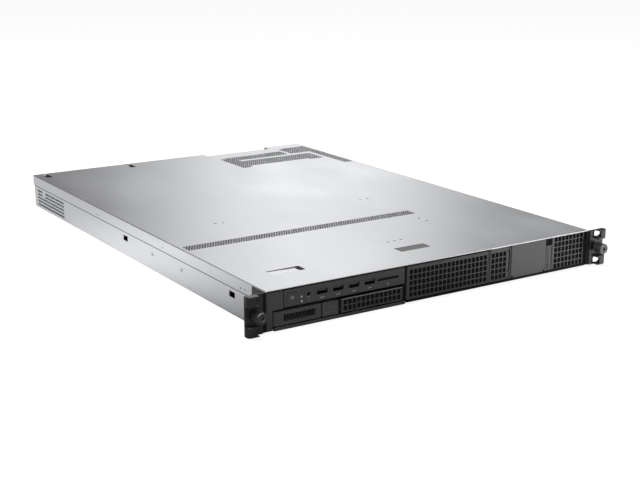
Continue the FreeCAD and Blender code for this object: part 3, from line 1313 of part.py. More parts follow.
def psu_case(name, left):
    """Case with rear vents, intake slots, the inlet's and the latch's openings, and the handle."""
    case = body(name + "_case")
    behind = "-rear_end"
    block = rectangle(case, "XY_Plane", "psu_width", "psu_length", left + " + psu_width / 2",
                      "rear_end - psu_length / 2", "psu_low")
    pad(case, block, "psu_height")
    doc.recompute()
    inlet = rectangle(case, "XZ_Plane", "inlet_width + fit_gap", "inlet_height + 2 * fit_gap",
                      left + " + inlet_place", "psu_level", behind)
    pocket(case, inlet, "inlet_depth + 3 * fit_gap", True)
    vent = rectangle(case, "XZ_Plane", "psu_vent", "psu_vent_high", left + " + psu_vent_place",
                     "psu_level", behind)
    repeat(case, pocket(case, vent, "psu_vent_depth", True), vent, "H_Axis", "psu_vent_pitch", 4)
    intake = rectangle(case, "XZ_Plane", "psu_intake", "psu_intake_high", left + " + psu_intake_place",
                       "psu_level", "-(rear_end - psu_length)")
    repeat(case, pocket(case, intake, "psu_intake_depth"), intake, "H_Axis", "psu_intake_pitch", 6)
    channel = rectangle(case, "XY_Plane", "channel_width", "channel_length",
                        left + " + psu_width - channel_width / 2", "rear_end - channel_length / 2",
                        "psu_level - channel_height / 2")
    pocket(case, channel, "channel_height", True)
    hole = circle(case, "XY_Plane", "pin_radius + spin_gap", left + " + psu_width - latch_inset",
                  "latch_pin_y", "psu_level - latch_pin_long / 2 - 2 * fit_gap")
    pocket(case, hole, "latch_pin_long + 4 * fit_gap", True)
    level = "psu_level + handle_rise"
    for side in (-1, 1):
        post = rectangle(case, "XZ_Plane", "handle_post", "handle_bar",
                         "%s + handle_place + %d * (handle_width - handle_post) / 2" % (left, side),
                         level, behind)
        pad(case, post, "psu_handle", True)
    grip = rectangle(case, "XZ_Plane", "handle_width", "handle_bar", left + " + handle_place", level,
                     "-(rear_end + psu_handle - handle_grip)")
    pad(case, grip, "handle_grip", True)
    return keep(case, name + "_case")


def psu_inlet(name, left):
    """Mains inlet: a moulded shell with three flat pins."""
    middle = left + " + inlet_place"
    start = "rear_end - inlet_depth - 2 * fit_gap"
    shell = box(middle + " - inlet_width / 2", start, "psu_level - inlet_height / 2", "inlet_width",
                "inlet_depth", "inlet_height")
    recess = box(middle + " - inlet_width / 2 + inlet_skin", start + " + inlet_skin",
                 "psu_level - inlet_height / 2 + inlet_skin", "inlet_width - 2 * inlet_skin",
                 "inlet_depth", "inlet_height - 2 * inlet_skin")
    pins = [box("%s - inlet_pin / 2 + %d * inlet_pin_pitch" % (middle, place), start + " + inlet_skin / 2",
                "psu_level - inlet_pin_high / 2 + %d * inlet_pin_high / 3" % (1 - 2 * abs(place)),
                "inlet_pin", "inlet_pin_length", "inlet_pin_high") for place in (-1, 0, 1)]
    return keep(fuse(cut(shell, recess), *pins), name + "_inlet")


def psu_latch(name, x):
    """Release latch: an arm on an upright pin, with a thumb piece behind the supply."""
    low = "psu_level - latch_height / 2"
    arm = box(x + " - latch_skin / 2", "latch_pin_y - latch_skin", low, "latch_skin", "latch_length",
              "latch_height")
    end = "latch_pin_y - latch_skin + latch_length"
    thumb = box(x + " + latch_skin / 2 - latch_tongue", end + " - latch_tongue_long", low,
                "latch_tongue", "latch_tongue_long", "latch_height")
    pin = rod("Z", x, "latch_pin_y", "psu_level - latch_pin_long / 2", "pin_radius", "latch_pin_long")
    return keep(fuse(arm, thumb, pin), name + "_latch")


# ---------------------------------------------------------------- screws and studs

def case_screws():
    """Low heads on the case sides, and the main board's standoffs with the screw heads over them."""
    heads = []
    for y in STUD_PLACES:
        for x in ("wall_out", "-wall_out - stud_height"):
            heads.append(prism("X", x, y, "stud_level", SCREW_SIDES, "stud_radius", "stud_height"))
    for x, y in STANDOFFS:
        heads.append(prism("Z", x, y, "pan_metal", 6, "standoff_radius", "standoff_height"))
        heads.append(prism("Z", x, y, "board_high", 6, "board_screw_radius", "board_screw_height"))
    return keep(group(*heads), "case_screws")


# ---------------------------------------------------------------- cover

def perforation():
    """Square holes in staggered rows over the cover's perforated areas, as loops of points."""
    loops = []
    pitch = S.vent_pitch
    half = S.vent_hole / 2
    rise = pitch * math.sqrt(3) / 2
    for field in COVER_FIELDS:
        low_x, low_y, high_x, high_y = [amount(place) for place in field]
        rows = int((high_y - low_y - 2 * half) / rise) + 1
        columns = int((high_x - low_x - 2 * half - pitch / 2) / pitch) + 1
        first_x = (low_x + high_x - (columns - 0.5) * pitch) / 2
        first_y = (low_y + high_y - (rows - 1) * rise) / 2
        for row in range(rows):
            for column in range(columns):
                x = first_x + (column + 0.5 * (row % 2)) * pitch
                y = first_y + row * rise
                loops.append([(x - half, y - half), (x + half, y - half), (x + half, y + half),
                              (x - half, y + half)])
    return loops


def top_cover():
    """Cover sheet with folded side flanges, a rear recess, a finger recess and perforations."""
    cover = body("top_cover")
    side = S.case_width / 2
    front = -S.cover_overhang
    back = S.rear_end
    inner = back - S.recess_depth
    plan = [(-side, front), (side, front), (side, back), (S.recess_right, back),
            (S.recess_right, inner), (S.recess_left, inner), (S.recess_left, back), (-side, back)]
    pad(cover, outline(cover, "XY_Plane", "lid", plan), "cover_metal")
    doc.recompute()
    for sign in (-1, 1):
        flange = rectangle(cover, "XY_Plane", "cover_metal", "rear_end - cover_flange_start",
                           "%d * (case_width / 2 - cover_metal / 2)" % sign,
                           "(rear_end + cover_flange_start) / 2", "case_height - cover_flange")
        pad(cover, flange, "cover_flange - cover_metal")
    cup = rectangle(cover, "XY_Plane", "pull_width + 2 * cover_metal", "pull_length + 2 * cover_metal",
                    "pull_x", "pull_y", "lid - pull_depth")
    pad(cover, cup, "pull_depth")
    doc.recompute()
    top = S.case_height
    left = S.pull_x - S.pull_width / 2
    right = left + S.pull_width
    slope = [(left, top + 1), (right, top + 1), (right, top - S.pull_depth), (left, top - S.pull_shallow)]
    pocket(cover, outline(cover, "XZ_Plane", "-(pull_y - pull_length / 2)", slope), "pull_length")
    through = "cover_metal + fit_gap"
    window = rectangle(cover, "XY_Plane", "pull_width + 2 * fit_gap", "pull_length + 2 * fit_gap", 0,
                       "pad_y", "case_height")
    pocket(cover, window, through)
    for x in ("psu_side + notch_inset", "divider_x - notch_divider"):
        notch = rectangle(cover, "XY_Plane", "notch_width", "notch_length", x,
                          "rear_end - notch_margin - notch_length / 2", "case_height")
        pocket(cover, notch, through)
    doc.recompute()
    pocket(cover, outline(cover, "XY_Plane", "case_height", *perforation()), through)
    return keep(cover, "top_cover")


def release_pad():
    """Push pad in the cover's window, held by its flange below the sheet."""
    wide = "(pull_width + 2 * pad_flange)"
    long = "(pull_length + 2 * pad_flange)"
    face = box("-pull_width / 2", "pad_y - pull_length / 2", "lid - fit_gap / 2", "pull_width",
               "pull_length", "cover_metal - fit_gap / 2")
    flange = box("-%s / 2" % wide, "pad_y - %s / 2" % long, "pad_flange_level", wide, long,
                 "pad_flange_metal")
    return keep(fuse(face, flange), "release_pad")


# ---------------------------------------------------------------- assembly

chassis_pan()
rear_panel()
psu_divider()
bracket = ear_bracket()
keep(mirrored(bracket), "ear_bracket_left")
cap = ear_cap()
keep(mirrored(cap), "ear_cap_left")
screw = thumbscrew()
keep(mirrored(screw), "thumbscrew_left")
front_frame()
badge_panel()
io_panel()
status_lenses()
power_button()
front_ports()
info_tab()
io_board()
front_grilles()
blank_panel()
latch_strip()
drive_cage()
drive_carrier()
carrier_lever()
lever_pin()
carrier_button()
drive()
drive_blank()
drive_backplane()
fan_wall()
for index in range(S.fan_count):
    fan_frame(index)
    fan_rotor(index)
main_board()
processors()
heat_sink(-1, "heat_sink_left")
heat_sink(1, "heat_sink_right")
memory()
air_baffle()
rear_ports()
expansion_card()
riser_board()
psu(0)
psu(1)
case_screws()
top_cover()
release_pad()

doc.recompute()

os.makedirs("parts", exist_ok=True)
for thing in doc.Objects:
    if "Invalid" in thing.State or "Error" in thing.State:
        raise RuntimeError("%s (%s) did not build" % (thing.Name, thing.Label))
for node in NODES:
    if node.Shape.isNull() or not node.Shape.isValid():
        raise RuntimeError("%s has no valid shape" % node.Label)
for node in NODES:
    node.Shape.exportStep("parts/%s.step" % node.Label)
print(len(NODES), "parts written")
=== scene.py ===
import json
import math

import bmesh
import bpy
from mathutils import Euler, Matrix, Vector
from mathutils.geometry import delaunay_2d_cdt

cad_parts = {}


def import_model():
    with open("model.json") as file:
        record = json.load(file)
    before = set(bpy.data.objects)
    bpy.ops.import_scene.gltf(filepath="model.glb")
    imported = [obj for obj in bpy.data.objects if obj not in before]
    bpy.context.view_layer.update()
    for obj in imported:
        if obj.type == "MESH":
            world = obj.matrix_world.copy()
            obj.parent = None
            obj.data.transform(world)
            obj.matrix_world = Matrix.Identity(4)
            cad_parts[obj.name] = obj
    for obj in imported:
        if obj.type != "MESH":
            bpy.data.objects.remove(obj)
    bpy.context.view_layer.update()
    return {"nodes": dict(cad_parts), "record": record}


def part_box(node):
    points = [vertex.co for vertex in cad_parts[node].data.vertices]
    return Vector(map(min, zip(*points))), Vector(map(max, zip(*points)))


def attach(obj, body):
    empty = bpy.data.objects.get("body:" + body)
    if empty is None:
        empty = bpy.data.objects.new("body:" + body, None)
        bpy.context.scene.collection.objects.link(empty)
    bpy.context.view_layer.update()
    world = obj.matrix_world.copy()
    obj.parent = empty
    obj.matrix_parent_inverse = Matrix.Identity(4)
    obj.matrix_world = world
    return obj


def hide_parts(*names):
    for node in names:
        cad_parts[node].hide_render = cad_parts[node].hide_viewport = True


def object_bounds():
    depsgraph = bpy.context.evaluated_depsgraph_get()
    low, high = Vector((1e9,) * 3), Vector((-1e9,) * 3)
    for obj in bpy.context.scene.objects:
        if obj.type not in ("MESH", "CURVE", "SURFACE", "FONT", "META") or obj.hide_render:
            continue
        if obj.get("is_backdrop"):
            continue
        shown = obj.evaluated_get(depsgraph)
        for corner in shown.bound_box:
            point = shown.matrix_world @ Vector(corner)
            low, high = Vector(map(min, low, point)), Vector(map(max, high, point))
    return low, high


# Looks of a one-unit rack server, in the CAD model's frame: +X right seen from the front,
# +Y to the back, +Z up.  The camera, the floor and the lamps are placed in metres.  The part's
# own lengths are in millimetres, and piece() turns them into metres.

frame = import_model()
NODES = frame["nodes"]
MM = 0.001
scene = bpy.context.scene
scene.view_settings.view_transform = "Standard"


def extent(node):
    """A CAD node's low and high corners in millimetres."""
    low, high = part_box(node)
    return low / MM, high / MM


# ---------------------------------------------------------------- camera, floor and light

CAMERA_PLACE = (-0.79223, -0.98750, 0.40636)
CAMERA_DOWN = 15.25                     # degrees below level
CAMERA_TURN = 32.92                     # degrees from +Y towards +X
CAMERA_SENSOR = 36.0                    # width in millimetres, as the lens is
CAMERA_LENS = 68.93
CAMERA_REACH = 20.0                     # metres


def camera():
    """The photograph's view."""
    data = bpy.data.cameras.new("camera")
    data.sensor_width = CAMERA_SENSOR
    data.lens = CAMERA_LENS
    data.clip_end = CAMERA_REACH
    eye = bpy.data.objects.new("camera", data)
    eye.location = CAMERA_PLACE
    eye.rotation_euler = Euler((math.radians(90 - CAMERA_DOWN), 0, math.radians(-CAMERA_TURN)))
    scene.collection.objects.link(eye)
    scene.camera = eye


def fresh_tree(holder):
    """An empty node tree for a material or a world."""
    holder.use_nodes = True
    tree = holder.node_tree
    tree.nodes.clear()
    return tree


def math_node(tree, operation, *values):
    """A math node on sockets or plain numbers."""
    node = tree.nodes.new("ShaderNodeMath")
    node.operation = operation
    for socket, value in zip(node.inputs, values):
        if isinstance(value, (int, float)):
            socket.default_value = value
        else:
            tree.links.new(value, socket)
    return node.outputs[0]


def map_range(tree, source, start, end, first, last, way="LINEAR"):
    """A change from the first value to the last, while the source goes from start to end."""
    node = tree.nodes.new("ShaderNodeMapRange")
    node.interpolation_type = way
    for socket, value in zip(("From Min", "From Max", "To Min", "To Max"), (start, end, first, last)):
        node.inputs[socket].default_value = value
    tree.links.new(source, node.inputs["Value"])
    return node.outputs[0]


def eased(tree, source, start, end, first, last):
    """Such a change that starts and ends gently."""
    return map_range(tree, source, start, end, first, last, "SMOOTHSTEP")


def axes_of(tree, kind):
    """The X, Y and Z of a texture coordinate."""
    place = tree.nodes.new("ShaderNodeTexCoord")
    axes = tree.nodes.new("ShaderNodeSeparateXYZ")
    tree.links.new(place.outputs[kind], axes.inputs[0])
    return tuple(axes.outputs)


def ray_kinds(tree):
    """Two switches: a ray from the camera or through glass, and a ray off a gloss."""
    path = tree.nodes.new("ShaderNodeLightPath")
    seen = math_node(tree, "MAXIMUM", path.outputs["Is Camera Ray"], path.outputs["Is Transmission Ray"])
    return seen, path.outputs["Is Glossy Ray"]


FLOOR_HALF = 6.0
FLOOR_GLOW = 0.84
FLOOR_COLOR = (0.36, 0.36, 0.36, 1)
# What a gloss sees of it: place along Y in metres, and brightness.
FLOOR_GLOSS = ((0.0, 0.0), (0.34, 0.80), (0.62, 0.40))
# A brighter patch before the right-hand end, as start, end, first and last value: how it grows
# along X, and the share of it that is left along Y.
FLOOR_PATCH = ((0.0, 0.26, 0.0, 1.7), (0.0, 0.12, 1.0, 0.0))


def floor_gloss(tree):
    """How bright the floor is where a gloss sees it."""
    x, y, _ = axes_of(tree, "Object")
    (front, dim), (middle, bright), (rear, plain) = FLOOR_GLOSS
    rise = eased(tree, y, front, middle, dim, bright)
    fall = eased(tree, y, middle, rear, 0.0, bright - plain)
    along, across = FLOOR_PATCH
    patch = math_node(tree, "MULTIPLY", eased(tree, x, *along), eased(tree, y, *across))
    return math_node(tree, "ADD", math_node(tree, "SUBTRACT", rise, fall), patch)


def floor():
    """White floor: a matt part that takes the shadow, and a glow added to it."""
    mesh = bpy.data.meshes.new("floor")
    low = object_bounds()[0][2]
    corners = [(-FLOOR_HALF, -FLOOR_HALF, low), (FLOOR_HALF, -FLOOR_HALF, low),
               (FLOOR_HALF, FLOOR_HALF, low), (-FLOOR_HALF, FLOOR_HALF, low)]
    mesh.from_pydata(corners, [], [(0, 1, 2, 3)])
    thing = bpy.data.objects.new("floor", mesh)
    scene.collection.objects.link(thing)
    material = bpy.data.materials.new("white_floor")
    tree = fresh_tree(material)
    out = tree.nodes.new("ShaderNodeOutputMaterial")
    matt = tree.nodes.new("ShaderNodeBsdfDiffuse")
    matt.inputs["Color"].default_value = FLOOR_COLOR
    glow = tree.nodes.new("ShaderNodeEmission")
    seen, glossy = ray_kinds(tree)
    gloss = math_node(tree, "MULTIPLY", glossy, floor_gloss(tree))
    strength = math_node(tree, "ADD", math_node(tree, "MULTIPLY", seen, FLOOR_GLOW), gloss)
    tree.links.new(strength, glow.inputs["Strength"])
    both = tree.nodes.new("ShaderNodeAddShader")
    tree.links.new(matt.outputs[0], both.inputs[0])
    tree.links.new(glow.outputs[0], both.inputs[1])
    tree.links.new(both.outputs[0], out.inputs[0])
    mesh.materials.append(material)
    thing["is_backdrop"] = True


# Strengths of the world's backgrounds, on Blender's own background grey: what lights the matt
# surfaces, and what the camera sees.
WORLD_LIGHT = 0.34
WORLD_WHITE = 1.0
# The backdrop as a gloss sees it: compass bearing from +Y towards +X in degrees, and brightness.
STUDIO = ((-180, 0.80), (-60, 0.70), (-20, 0.30), (8, 0.03), (20, 0.08), (32.5, 2.6), (44, 0.22),
          (60, 0.36), (100, 0.70), (180, 0.80))
STUDIO_TOP = 2.6
# How the bands fade with height, as start, end, first and last value.  The height is the sine of
# its angle.
STUDIO_FALL = (0.18, 0.5, 1.0, 0.3)
# A bright panel high above the front, in the same way: its lower edge in height, and its rear edge
# along Y.
STUDIO_PANEL = ((0.55, 0.75, 0.0, 4.5), (-0.25, 0.05, 1.0, 0.0))


def studio_bands(tree, x, y):
    """The backdrop's brightness by compass bearing."""
    bearing = math_node(tree, "ARCTAN2", x, y)
    share = math_node(tree, "MULTIPLY_ADD", bearing, 0.5 / math.pi, 0.5)
    bands = tree.nodes.new("ShaderNodeValToRGB")
    bands.color_ramp.interpolation = "EASE"
    stops = bands.color_ramp.elements
    while len(stops) > 1:
        stops.remove(stops[-1])
    for index, (angle, level) in enumerate(STUDIO):
        position = (angle + 180) / 360
        stop = stops[0] if index == 0 else stops.new(position)
        stop.position = position
        stop.color = (level / STUDIO_TOP,) * 3 + (1,)
    tree.links.new(share, bands.inputs[0])
    return math_node(tree, "MULTIPLY", bands.outputs[0], STUDIO_TOP)


def mixed(tree, factor, first, second):
    """The first shader, and the second where the factor is one."""
    mix = tree.nodes.new("ShaderNodeMixShader")
    for socket, source in zip(mix.inputs, (factor, first, second)):
        tree.links.new(source, socket)
    return mix.outputs[0]


def world():
    """White behind the part; softly graded where a gloss sees it, as from softboxes."""
    sky = bpy.data.worlds.new("studio")
    scene.world = sky
    tree = fresh_tree(sky)
    out = tree.nodes.new("ShaderNodeOutputWorld")
    light, white, graded = [tree.nodes.new("ShaderNodeBackground") for _ in range(3)]
    light.inputs["Strength"].default_value = WORLD_LIGHT
    white.inputs["Strength"].default_value = WORLD_WHITE
    x, y, z = axes_of(tree, "Generated")
    bands = math_node(tree, "MULTIPLY", studio_bands(tree, x, y), eased(tree, z, *STUDIO_FALL))
    lower, rear = STUDIO_PANEL
    panel = math_node(tree, "MULTIPLY", eased(tree, z, *lower), eased(tree, y, *rear))
    tree.links.new(math_node(tree, "ADD", bands, panel), graded.inputs["Strength"])
    seen, glossy = ray_kinds(tree)
    shown = mixed(tree, glossy, light.outputs[0], graded.outputs[0])
    tree.links.new(mixed(tree, seen, shown, white.outputs[0]), out.inputs[0])


# Name, place, what it points at, side length in metres, and power in watts.
LAMPS = (("overhead", (0.0, 0.5, 2.2), (0.0, 0.35, 0.0), 1.1, 30),
         ("front_left", (-1.6, -1.6, 1.2), (0.0, 0.2, 0.0), 1.4, 12))


def lamp(name, place, target, side, power):
    """A square area light."""
    data = bpy.data.lights.new(name, "AREA")
    data.shape = "RECTANGLE"
    data.size = side
    data.size_y = side
    data.energy = power
    thing = bpy.data.objects.new(name, data)
    thing.location = place
    aim = Vector(target) - Vector(place)
    thing.rotation_euler = aim.to_track_quat("-Z", "Y").to_euler()
    scene.collection.objects.link(thing)


camera()
floor()
world()
for row in LAMPS:
    lamp(*row)


# ---------------------------------------------------------------- materials

# Between these two lie most of a noise pattern's values.
NOISE_LOW = 0.3
NOISE_HIGH = 0.7
# Sheet steel: rolling streaks along Y, broad clouds, and the clouds' share of the colour.
STREAK_SCALE = 260.0
STREAK_STRETCH = (1, 0.06, 1)
CLOUD_SCALE = 9.0
CLOUD_STRETCH = (1, 0.6, 1)
CLOUD_SHARE = 0.8
# Mouldings: a fine grain and broad tints.
GRAIN_SCALE = 1500.0
TINT_SCALE = 18.0
# Bare metal: scratches.
SCRATCH_SCALE = 400.0
SCRATCH_STRETCH = (1, 1, 0.2)
# The Mix node's sockets by number, because its names repeat: two values, two colours, mixed colour.
MIX_VALUES = (2, 3)
MIX_COLORS = (6, 7)
MIX_COLOR_OUT = 2


def principled(name, color, metallic, roughness):
    """A plain material, its node tree and its shader."""
    material = bpy.data.materials.new(name)
    tree = fresh_tree(material)
    out = tree.nodes.new("ShaderNodeOutputMaterial")
    shader = tree.nodes.new("ShaderNodeBsdfPrincipled")
    shader.inputs["Base Color"].default_value = (*color, 1)
    shader.inputs["Metallic"].default_value = metallic
    shader.inputs["Roughness"].default_value = roughness
    tree.links.new(shader.outputs[0], out.inputs[0])
    return material, tree, shader


def noise(tree, scale, stretch=(1, 1, 1), detail=3.0):
    """Noise in object coordinates, stretched along chosen axes."""
    place = tree.nodes.new("ShaderNodeTexCoord")
    mapping = tree.nodes.new("ShaderNodeMapping")
    mapping.inputs["Scale"].default_value = stretch
    pattern = tree.nodes.new("ShaderNodeTexNoise")
    pattern.inputs["Scale"].default_value = scale
    pattern.inputs["Detail"].default_value = detail
    tree.links.new(place.outputs["Object"], mapping.inputs[0])
    tree.links.new(mapping.outputs[0], pattern.inputs["Vector"])
    return pattern.outputs["Fac"]


def shade(color, factor):
    """A multiple of a colour."""
    return tuple(min(1.0, channel * factor) for channel in color)


def tint(tree, source, shader, color, dark, light, low=NOISE_LOW, high=NOISE_HIGH):
    """Lets a pattern's range vary the colour, from its dark multiple to its light one."""
    node = tree.nodes.new("ShaderNodeValToRGB")
    for stop, position, factor in zip(node.color_ramp.elements, (low, high), (dark, light)):
        stop.position = position
        stop.color = (*shade(color, factor), 1)
    tree.links.new(source, node.inputs[0])
    tree.links.new(node.outputs[0], shader.inputs["Base Color"])


def roughen(tree, source, shader, roughness, smoother, rougher):
    """Lets a pattern vary the roughness."""
    low, high = roughness - smoother, roughness + rougher
    changed = map_range(tree, source, NOISE_LOW, NOISE_HIGH, low, high)
    tree.links.new(changed, shader.inputs["Roughness"])


def bump(tree, source, shader, strength, distance):
    """Lets a pattern raise the surface; the distance is in metres."""
    node = tree.nodes.new("ShaderNodeBump")
    node.inputs["Strength"].default_value = strength
    node.inputs["Distance"].default_value = distance
    tree.links.new(source, node.inputs["Height"])
    tree.links.new(node.outputs[0], shader.inputs["Normal"])


def sheet_steel(name, color, roughness=0.36, metallic=0.97):
    """Zinc-coated sheet with rolling streaks and faint cloudy patches."""
    material, tree, shader = principled(name, color, metallic, roughness)
    streaks = noise(tree, STREAK_SCALE, STREAK_STRETCH, detail=4.0)
    clouds = noise(tree, CLOUD_SCALE, CLOUD_STRETCH, detail=5.0)
    both = tree.nodes.new("ShaderNodeMix")
    both.inputs["Factor"].default_value = CLOUD_SHARE
    for socket, source in zip(MIX_VALUES, (streaks, clouds)):
        tree.links.new(source, both.inputs[socket])
    tint(tree, both.outputs[0], shader, color, dark=0.94, light=1.05, low=0.35, high=0.65)
    roughen(tree, clouds, shader, roughness, smoother=0.04, rougher=0.06)
    bump(tree, streaks, shader, strength=0.03, distance=0.0002)
    return material


def painted_shade_on_cuts(steel, height, color, side, front):
    """Paints shade on a sheet's cut edges: what lies below a height, within its sides and behind its front.
    """
    tree = steel.node_tree
    shader = next(node for node in tree.nodes if node.type == "BSDF_PRINCIPLED")
    plain = shader.inputs["Base Color"].links[0].from_socket
    x, y, z = axes_of(tree, "Object")
    below = math_node(tree, "LESS_THAN", z, height)
    within = math_node(tree, "LESS_THAN", math_node(tree, "ABSOLUTE", x), side)
    behind = math_node(tree, "GREATER_THAN", y, front)
    cut = math_node(tree, "MULTIPLY", math_node(tree, "MULTIPLY", below, within), behind)
    mix = tree.nodes.new("ShaderNodeMix")
    mix.data_type = "RGBA"
    tree.links.new(cut, mix.inputs["Factor"])
    tree.links.new(plain, mix.inputs[MIX_COLORS[0]])
    mix.inputs[MIX_COLORS[1]].default_value = (*color, 1)
    tree.links.new(mix.outputs[MIX_COLOR_OUT], shader.inputs["Base Color"])
    return steel


def moulding(name, color, roughness, gloss=0.6):
    """Fine-textured plastic."""
    material, tree, shader = principled(name, color, 0.0, roughness)
    shader.inputs["Specular IOR Level"].default_value = gloss
    texture = noise(tree, GRAIN_SCALE)
    tint(tree, noise(tree, TINT_SCALE), shader, color, dark=0.92, light=1.1)
    roughen(tree, texture, shader, roughness, smoother=0.06, rougher=0.08)
    bump(tree, texture, shader, strength=0.15, distance=0.0001)
    return material


def metal(name, color, roughness):
    """Bare metal with faint scratches."""
    material, tree, shader = principled(name, color, 1.0, roughness)
    scratches = noise(tree, SCRATCH_SCALE, SCRATCH_STRETCH)
    tint(tree, scratches, shader, color, dark=0.9, light=1.08)
    roughen(tree, scratches, shader, roughness, smoother=0.05, rougher=0.1)
    bump(tree, scratches, shader, strength=0.05, distance=0.0001)
    return material


STEEL = (0.72, 0.73, 0.75)
# Colour, roughness and, where it isn't the usual one, gloss.
MOULDINGS = {
    "bezel_plastic": ((0.054, 0.055, 0.057), 0.4, 0.7),
    "panel_plastic": ((0.15, 0.152, 0.156), 0.5),
    "ear_steel": ((0.022, 0.022, 0.024), 0.32, 0.5),
    "black_plastic": ((0.008, 0.008, 0.009), 0.6, 0.12),
    "lens": ((0.6, 0.62, 0.6), 0.25),
    "circuit_board": ((0.012, 0.10, 0.05), 0.35),
    "latch_plastic": ((0.32, 0.07, 0.02), 0.45),
}
# Colour and roughness.
METALS = {
    "connector_metal": ((0.6, 0.6, 0.6), 0.3),
    "aluminium_fins": ((0.72, 0.73, 0.74), 0.35),
    "dark_steel": ((0.10, 0.10, 0.105), 0.4),
    "screw_steel": ((0.5, 0.5, 0.5), 0.35),
    "drive_metal": ((0.5, 0.51, 0.52), 0.4),
}

MATERIALS = {"galvanised_steel": sheet_steel("galvanised_steel", STEEL)}
for name, look in MOULDINGS.items():
    MATERIALS[name] = moulding(name, *look)
for name, look in METALS.items():
    MATERIALS[name] = metal(name, *look)
PAD_PLASTIC = moulding("pad_plastic", (0.115, 0.117, 0.12), 0.5)
# A lighter, matter copy of the sheet steel: painted light on the finger recess's floor.
PAINTED_LIGHT_STEEL = sheet_steel("painted_light_steel", (0.88, 0.885, 0.9), roughness=0.6, metallic=0.25)

SLOT_OF = {entry["node"]: entry["material_slot"] for entry in frame["record"]["subparts"]}
for name, thing in NODES.items():
    thing.data.materials.clear()
    thing.data.materials.append(PAD_PLASTIC if name == "release_pad" else MATERIALS[SLOT_OF[name]])


# ---------------------------------------------------------------- mesh helpers

MERGE = 0.0005                          # points nearer than this become one
FLAT_MERGE = 1e-5
FILL_ROUND_HOLES = 2                    # the kind of filling that leaves holes open


def piece(name, body, slot, bm, material=None, stands_for=()):
    """Turns a bmesh in millimetres into a finished piece that rides on a body."""
    bmesh.ops.remove_doubles(bm, verts=bm.verts, dist=MERGE)
    bmesh.ops.recalc_face_normals(bm, faces=bm.faces)
    bmesh.ops.scale(bm, vec=(MM, MM, MM), verts=bm.verts)
    mesh = bpy.data.meshes.new(name)
    bm.to_mesh(mesh)
    bm.free()
    thing = bpy.data.objects.new(name, mesh)
    scene.collection.objects.link(thing)
    mesh.materials.append(material or MATERIALS[slot])
    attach(thing, body)
    if stands_for:
        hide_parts(*stands_for)
    return thing


def triangles(loops):
    """Fills an outer loop round its holes."""
    points = []
    rings = []
    for loop in loops:
        rings.append(list(range(len(points), len(points) + len(loop))))
        points += [Vector(point) for point in loop]
    found, _, faces, *_ = delaunay_2d_cdt(points, [], rings, FILL_ROUND_HOLES, FLAT_MERGE)
    return found, faces


def skin(bm, rings):
    """Side faces between neighbouring rings of as many vertices."""
    for first, second in zip(rings, rings[1:]):
        count = len(first)
        for i in range(count):
            j = (i + 1) % count
            bm.faces.new((first[i], first[j], second[j], second[i]))


def wall(bm, turn, low_loop, low, high_loop, high):
    """Side faces between two loops at two levels."""
    skin(bm, [[bm.verts.new(turn @ Vector((x, y, level))) for x, y in loop]
              for loop, level in ((low_loop, low), (high_loop, high))])


def plate(bm, turn, thick, outer, holes=(), chamfer=0.0):
    """A closed flat plate: its back lies on the turned plane, its front stands thick before it."""
    inset = shrunk(outer, chamfer)
    levels = (((inset,) + tuple(holes), thick), ((tuple(outer),) + tuple(holes), 0.0))
    for loops, level in levels:
        points, faces = triangles(loops)
        verts = [bm.verts.new(turn @ Vector((p.x, p.y, level))) for p in points]
        for face in faces:
            bm.faces.new([verts[i] for i in (face if level else reversed(face))])
    for hole in holes:
        wall(bm, turn, hole, 0.0, hole, thick)
    wall(bm, turn, outer, 0.0, outer, thick - chamfer)
    if chamfer:
        wall(bm, turn, outer, thick - chamfer, inset, thick)


def prism(bm, axis, profile, start, end):
    """A closed bar along an axis from a profile of the two other coordinates."""
    place = {"x": lambda a, p, q: (a, p, q), "y": lambda a, p, q: (p, a, q),
             "z": lambda a, p, q: (p, q, a)}[axis]
    rings = [[bm.verts.new(place(a, p, q)) for p, q in profile] for a in (start, end)]
    skin(bm, rings)
    for ring in rings:
        bm.faces.new(ring)


def block(bm, low, high, soft=0.0):
    """A block between two corners, with rounded edges if asked."""
    made = bmesh.ops.create_cube(bm, size=1.0)["verts"]
    size = Vector(high) - Vector(low)
    bmesh.ops.scale(bm, vec=size, verts=made)
    bmesh.ops.translate(bm, vec=(Vector(low) + Vector(high)) / 2, verts=made)
    if soft:
        edges = list({edge for vert in made for edge in vert.link_edges})
        bmesh.ops.bevel(bm, geom=edges, offset=soft, segments=2, affect="EDGES", profile=0.5)


def shrunk(loop, by):
    """A counter-clockwise loop of square corners moved inwards."""
    if not by:
        return tuple(loop)
    moved = []
    count = len(loop)
    for i in range(count):
        here = Vector(loop[i])
        before = (here - Vector(loop[i - 1])).normalized()
        after = (Vector(loop[(i + 1) % count]) - here).normalized()
        moved.append(tuple(here + by * (Vector((-before.y, before.x)) + Vector((-after.y, after.x)))))
    return tuple(moved)


def flipped(loop):
    """The same loop the other way round: outer loops run counter-clockwise, and holes clockwise."""
    return list(reversed(loop))


def ngon(x, y, radius, sides, turn=0.0):
    """A clockwise loop round a point."""
    return [(x + radius * math.cos(turn - 2 * math.pi * i / sides),
             y + radius * math.sin(turn - 2 * math.pi * i / sides)) for i in range(sides)]


def rect(x0, y0, x1, y1, corner=0.0):
    """A counter-clockwise rectangle, with cut corners if asked."""
    if not corner:
        return [(x0, y0), (x1, y0), (x1, y1), (x0, y1)]
    c = corner
    return [(x0 + c, y0), (x1 - c, y0), (x1, y0 + c), (x1, y1 - c), (x1 - c, y1), (x0 + c, y1),
            (x0, y1 - c), (x0, y0 + c)]


def rect_at(x, y, wide, high, corner=0.0):
    """A counter-clockwise rectangle round a point."""
    return rect(x - wide / 2, y - high / 2, x + wide / 2, y + high / 2, corner)


def quarter(radius, steps):
    """A quarter circle from straight up to straight out, as pairs of out and up from its centre."""
    angles = [math.pi / 2 * i / steps for i in range(steps + 1)]
    return [(radius * math.sin(angle), radius * math.cos(angle)) for angle in angles]


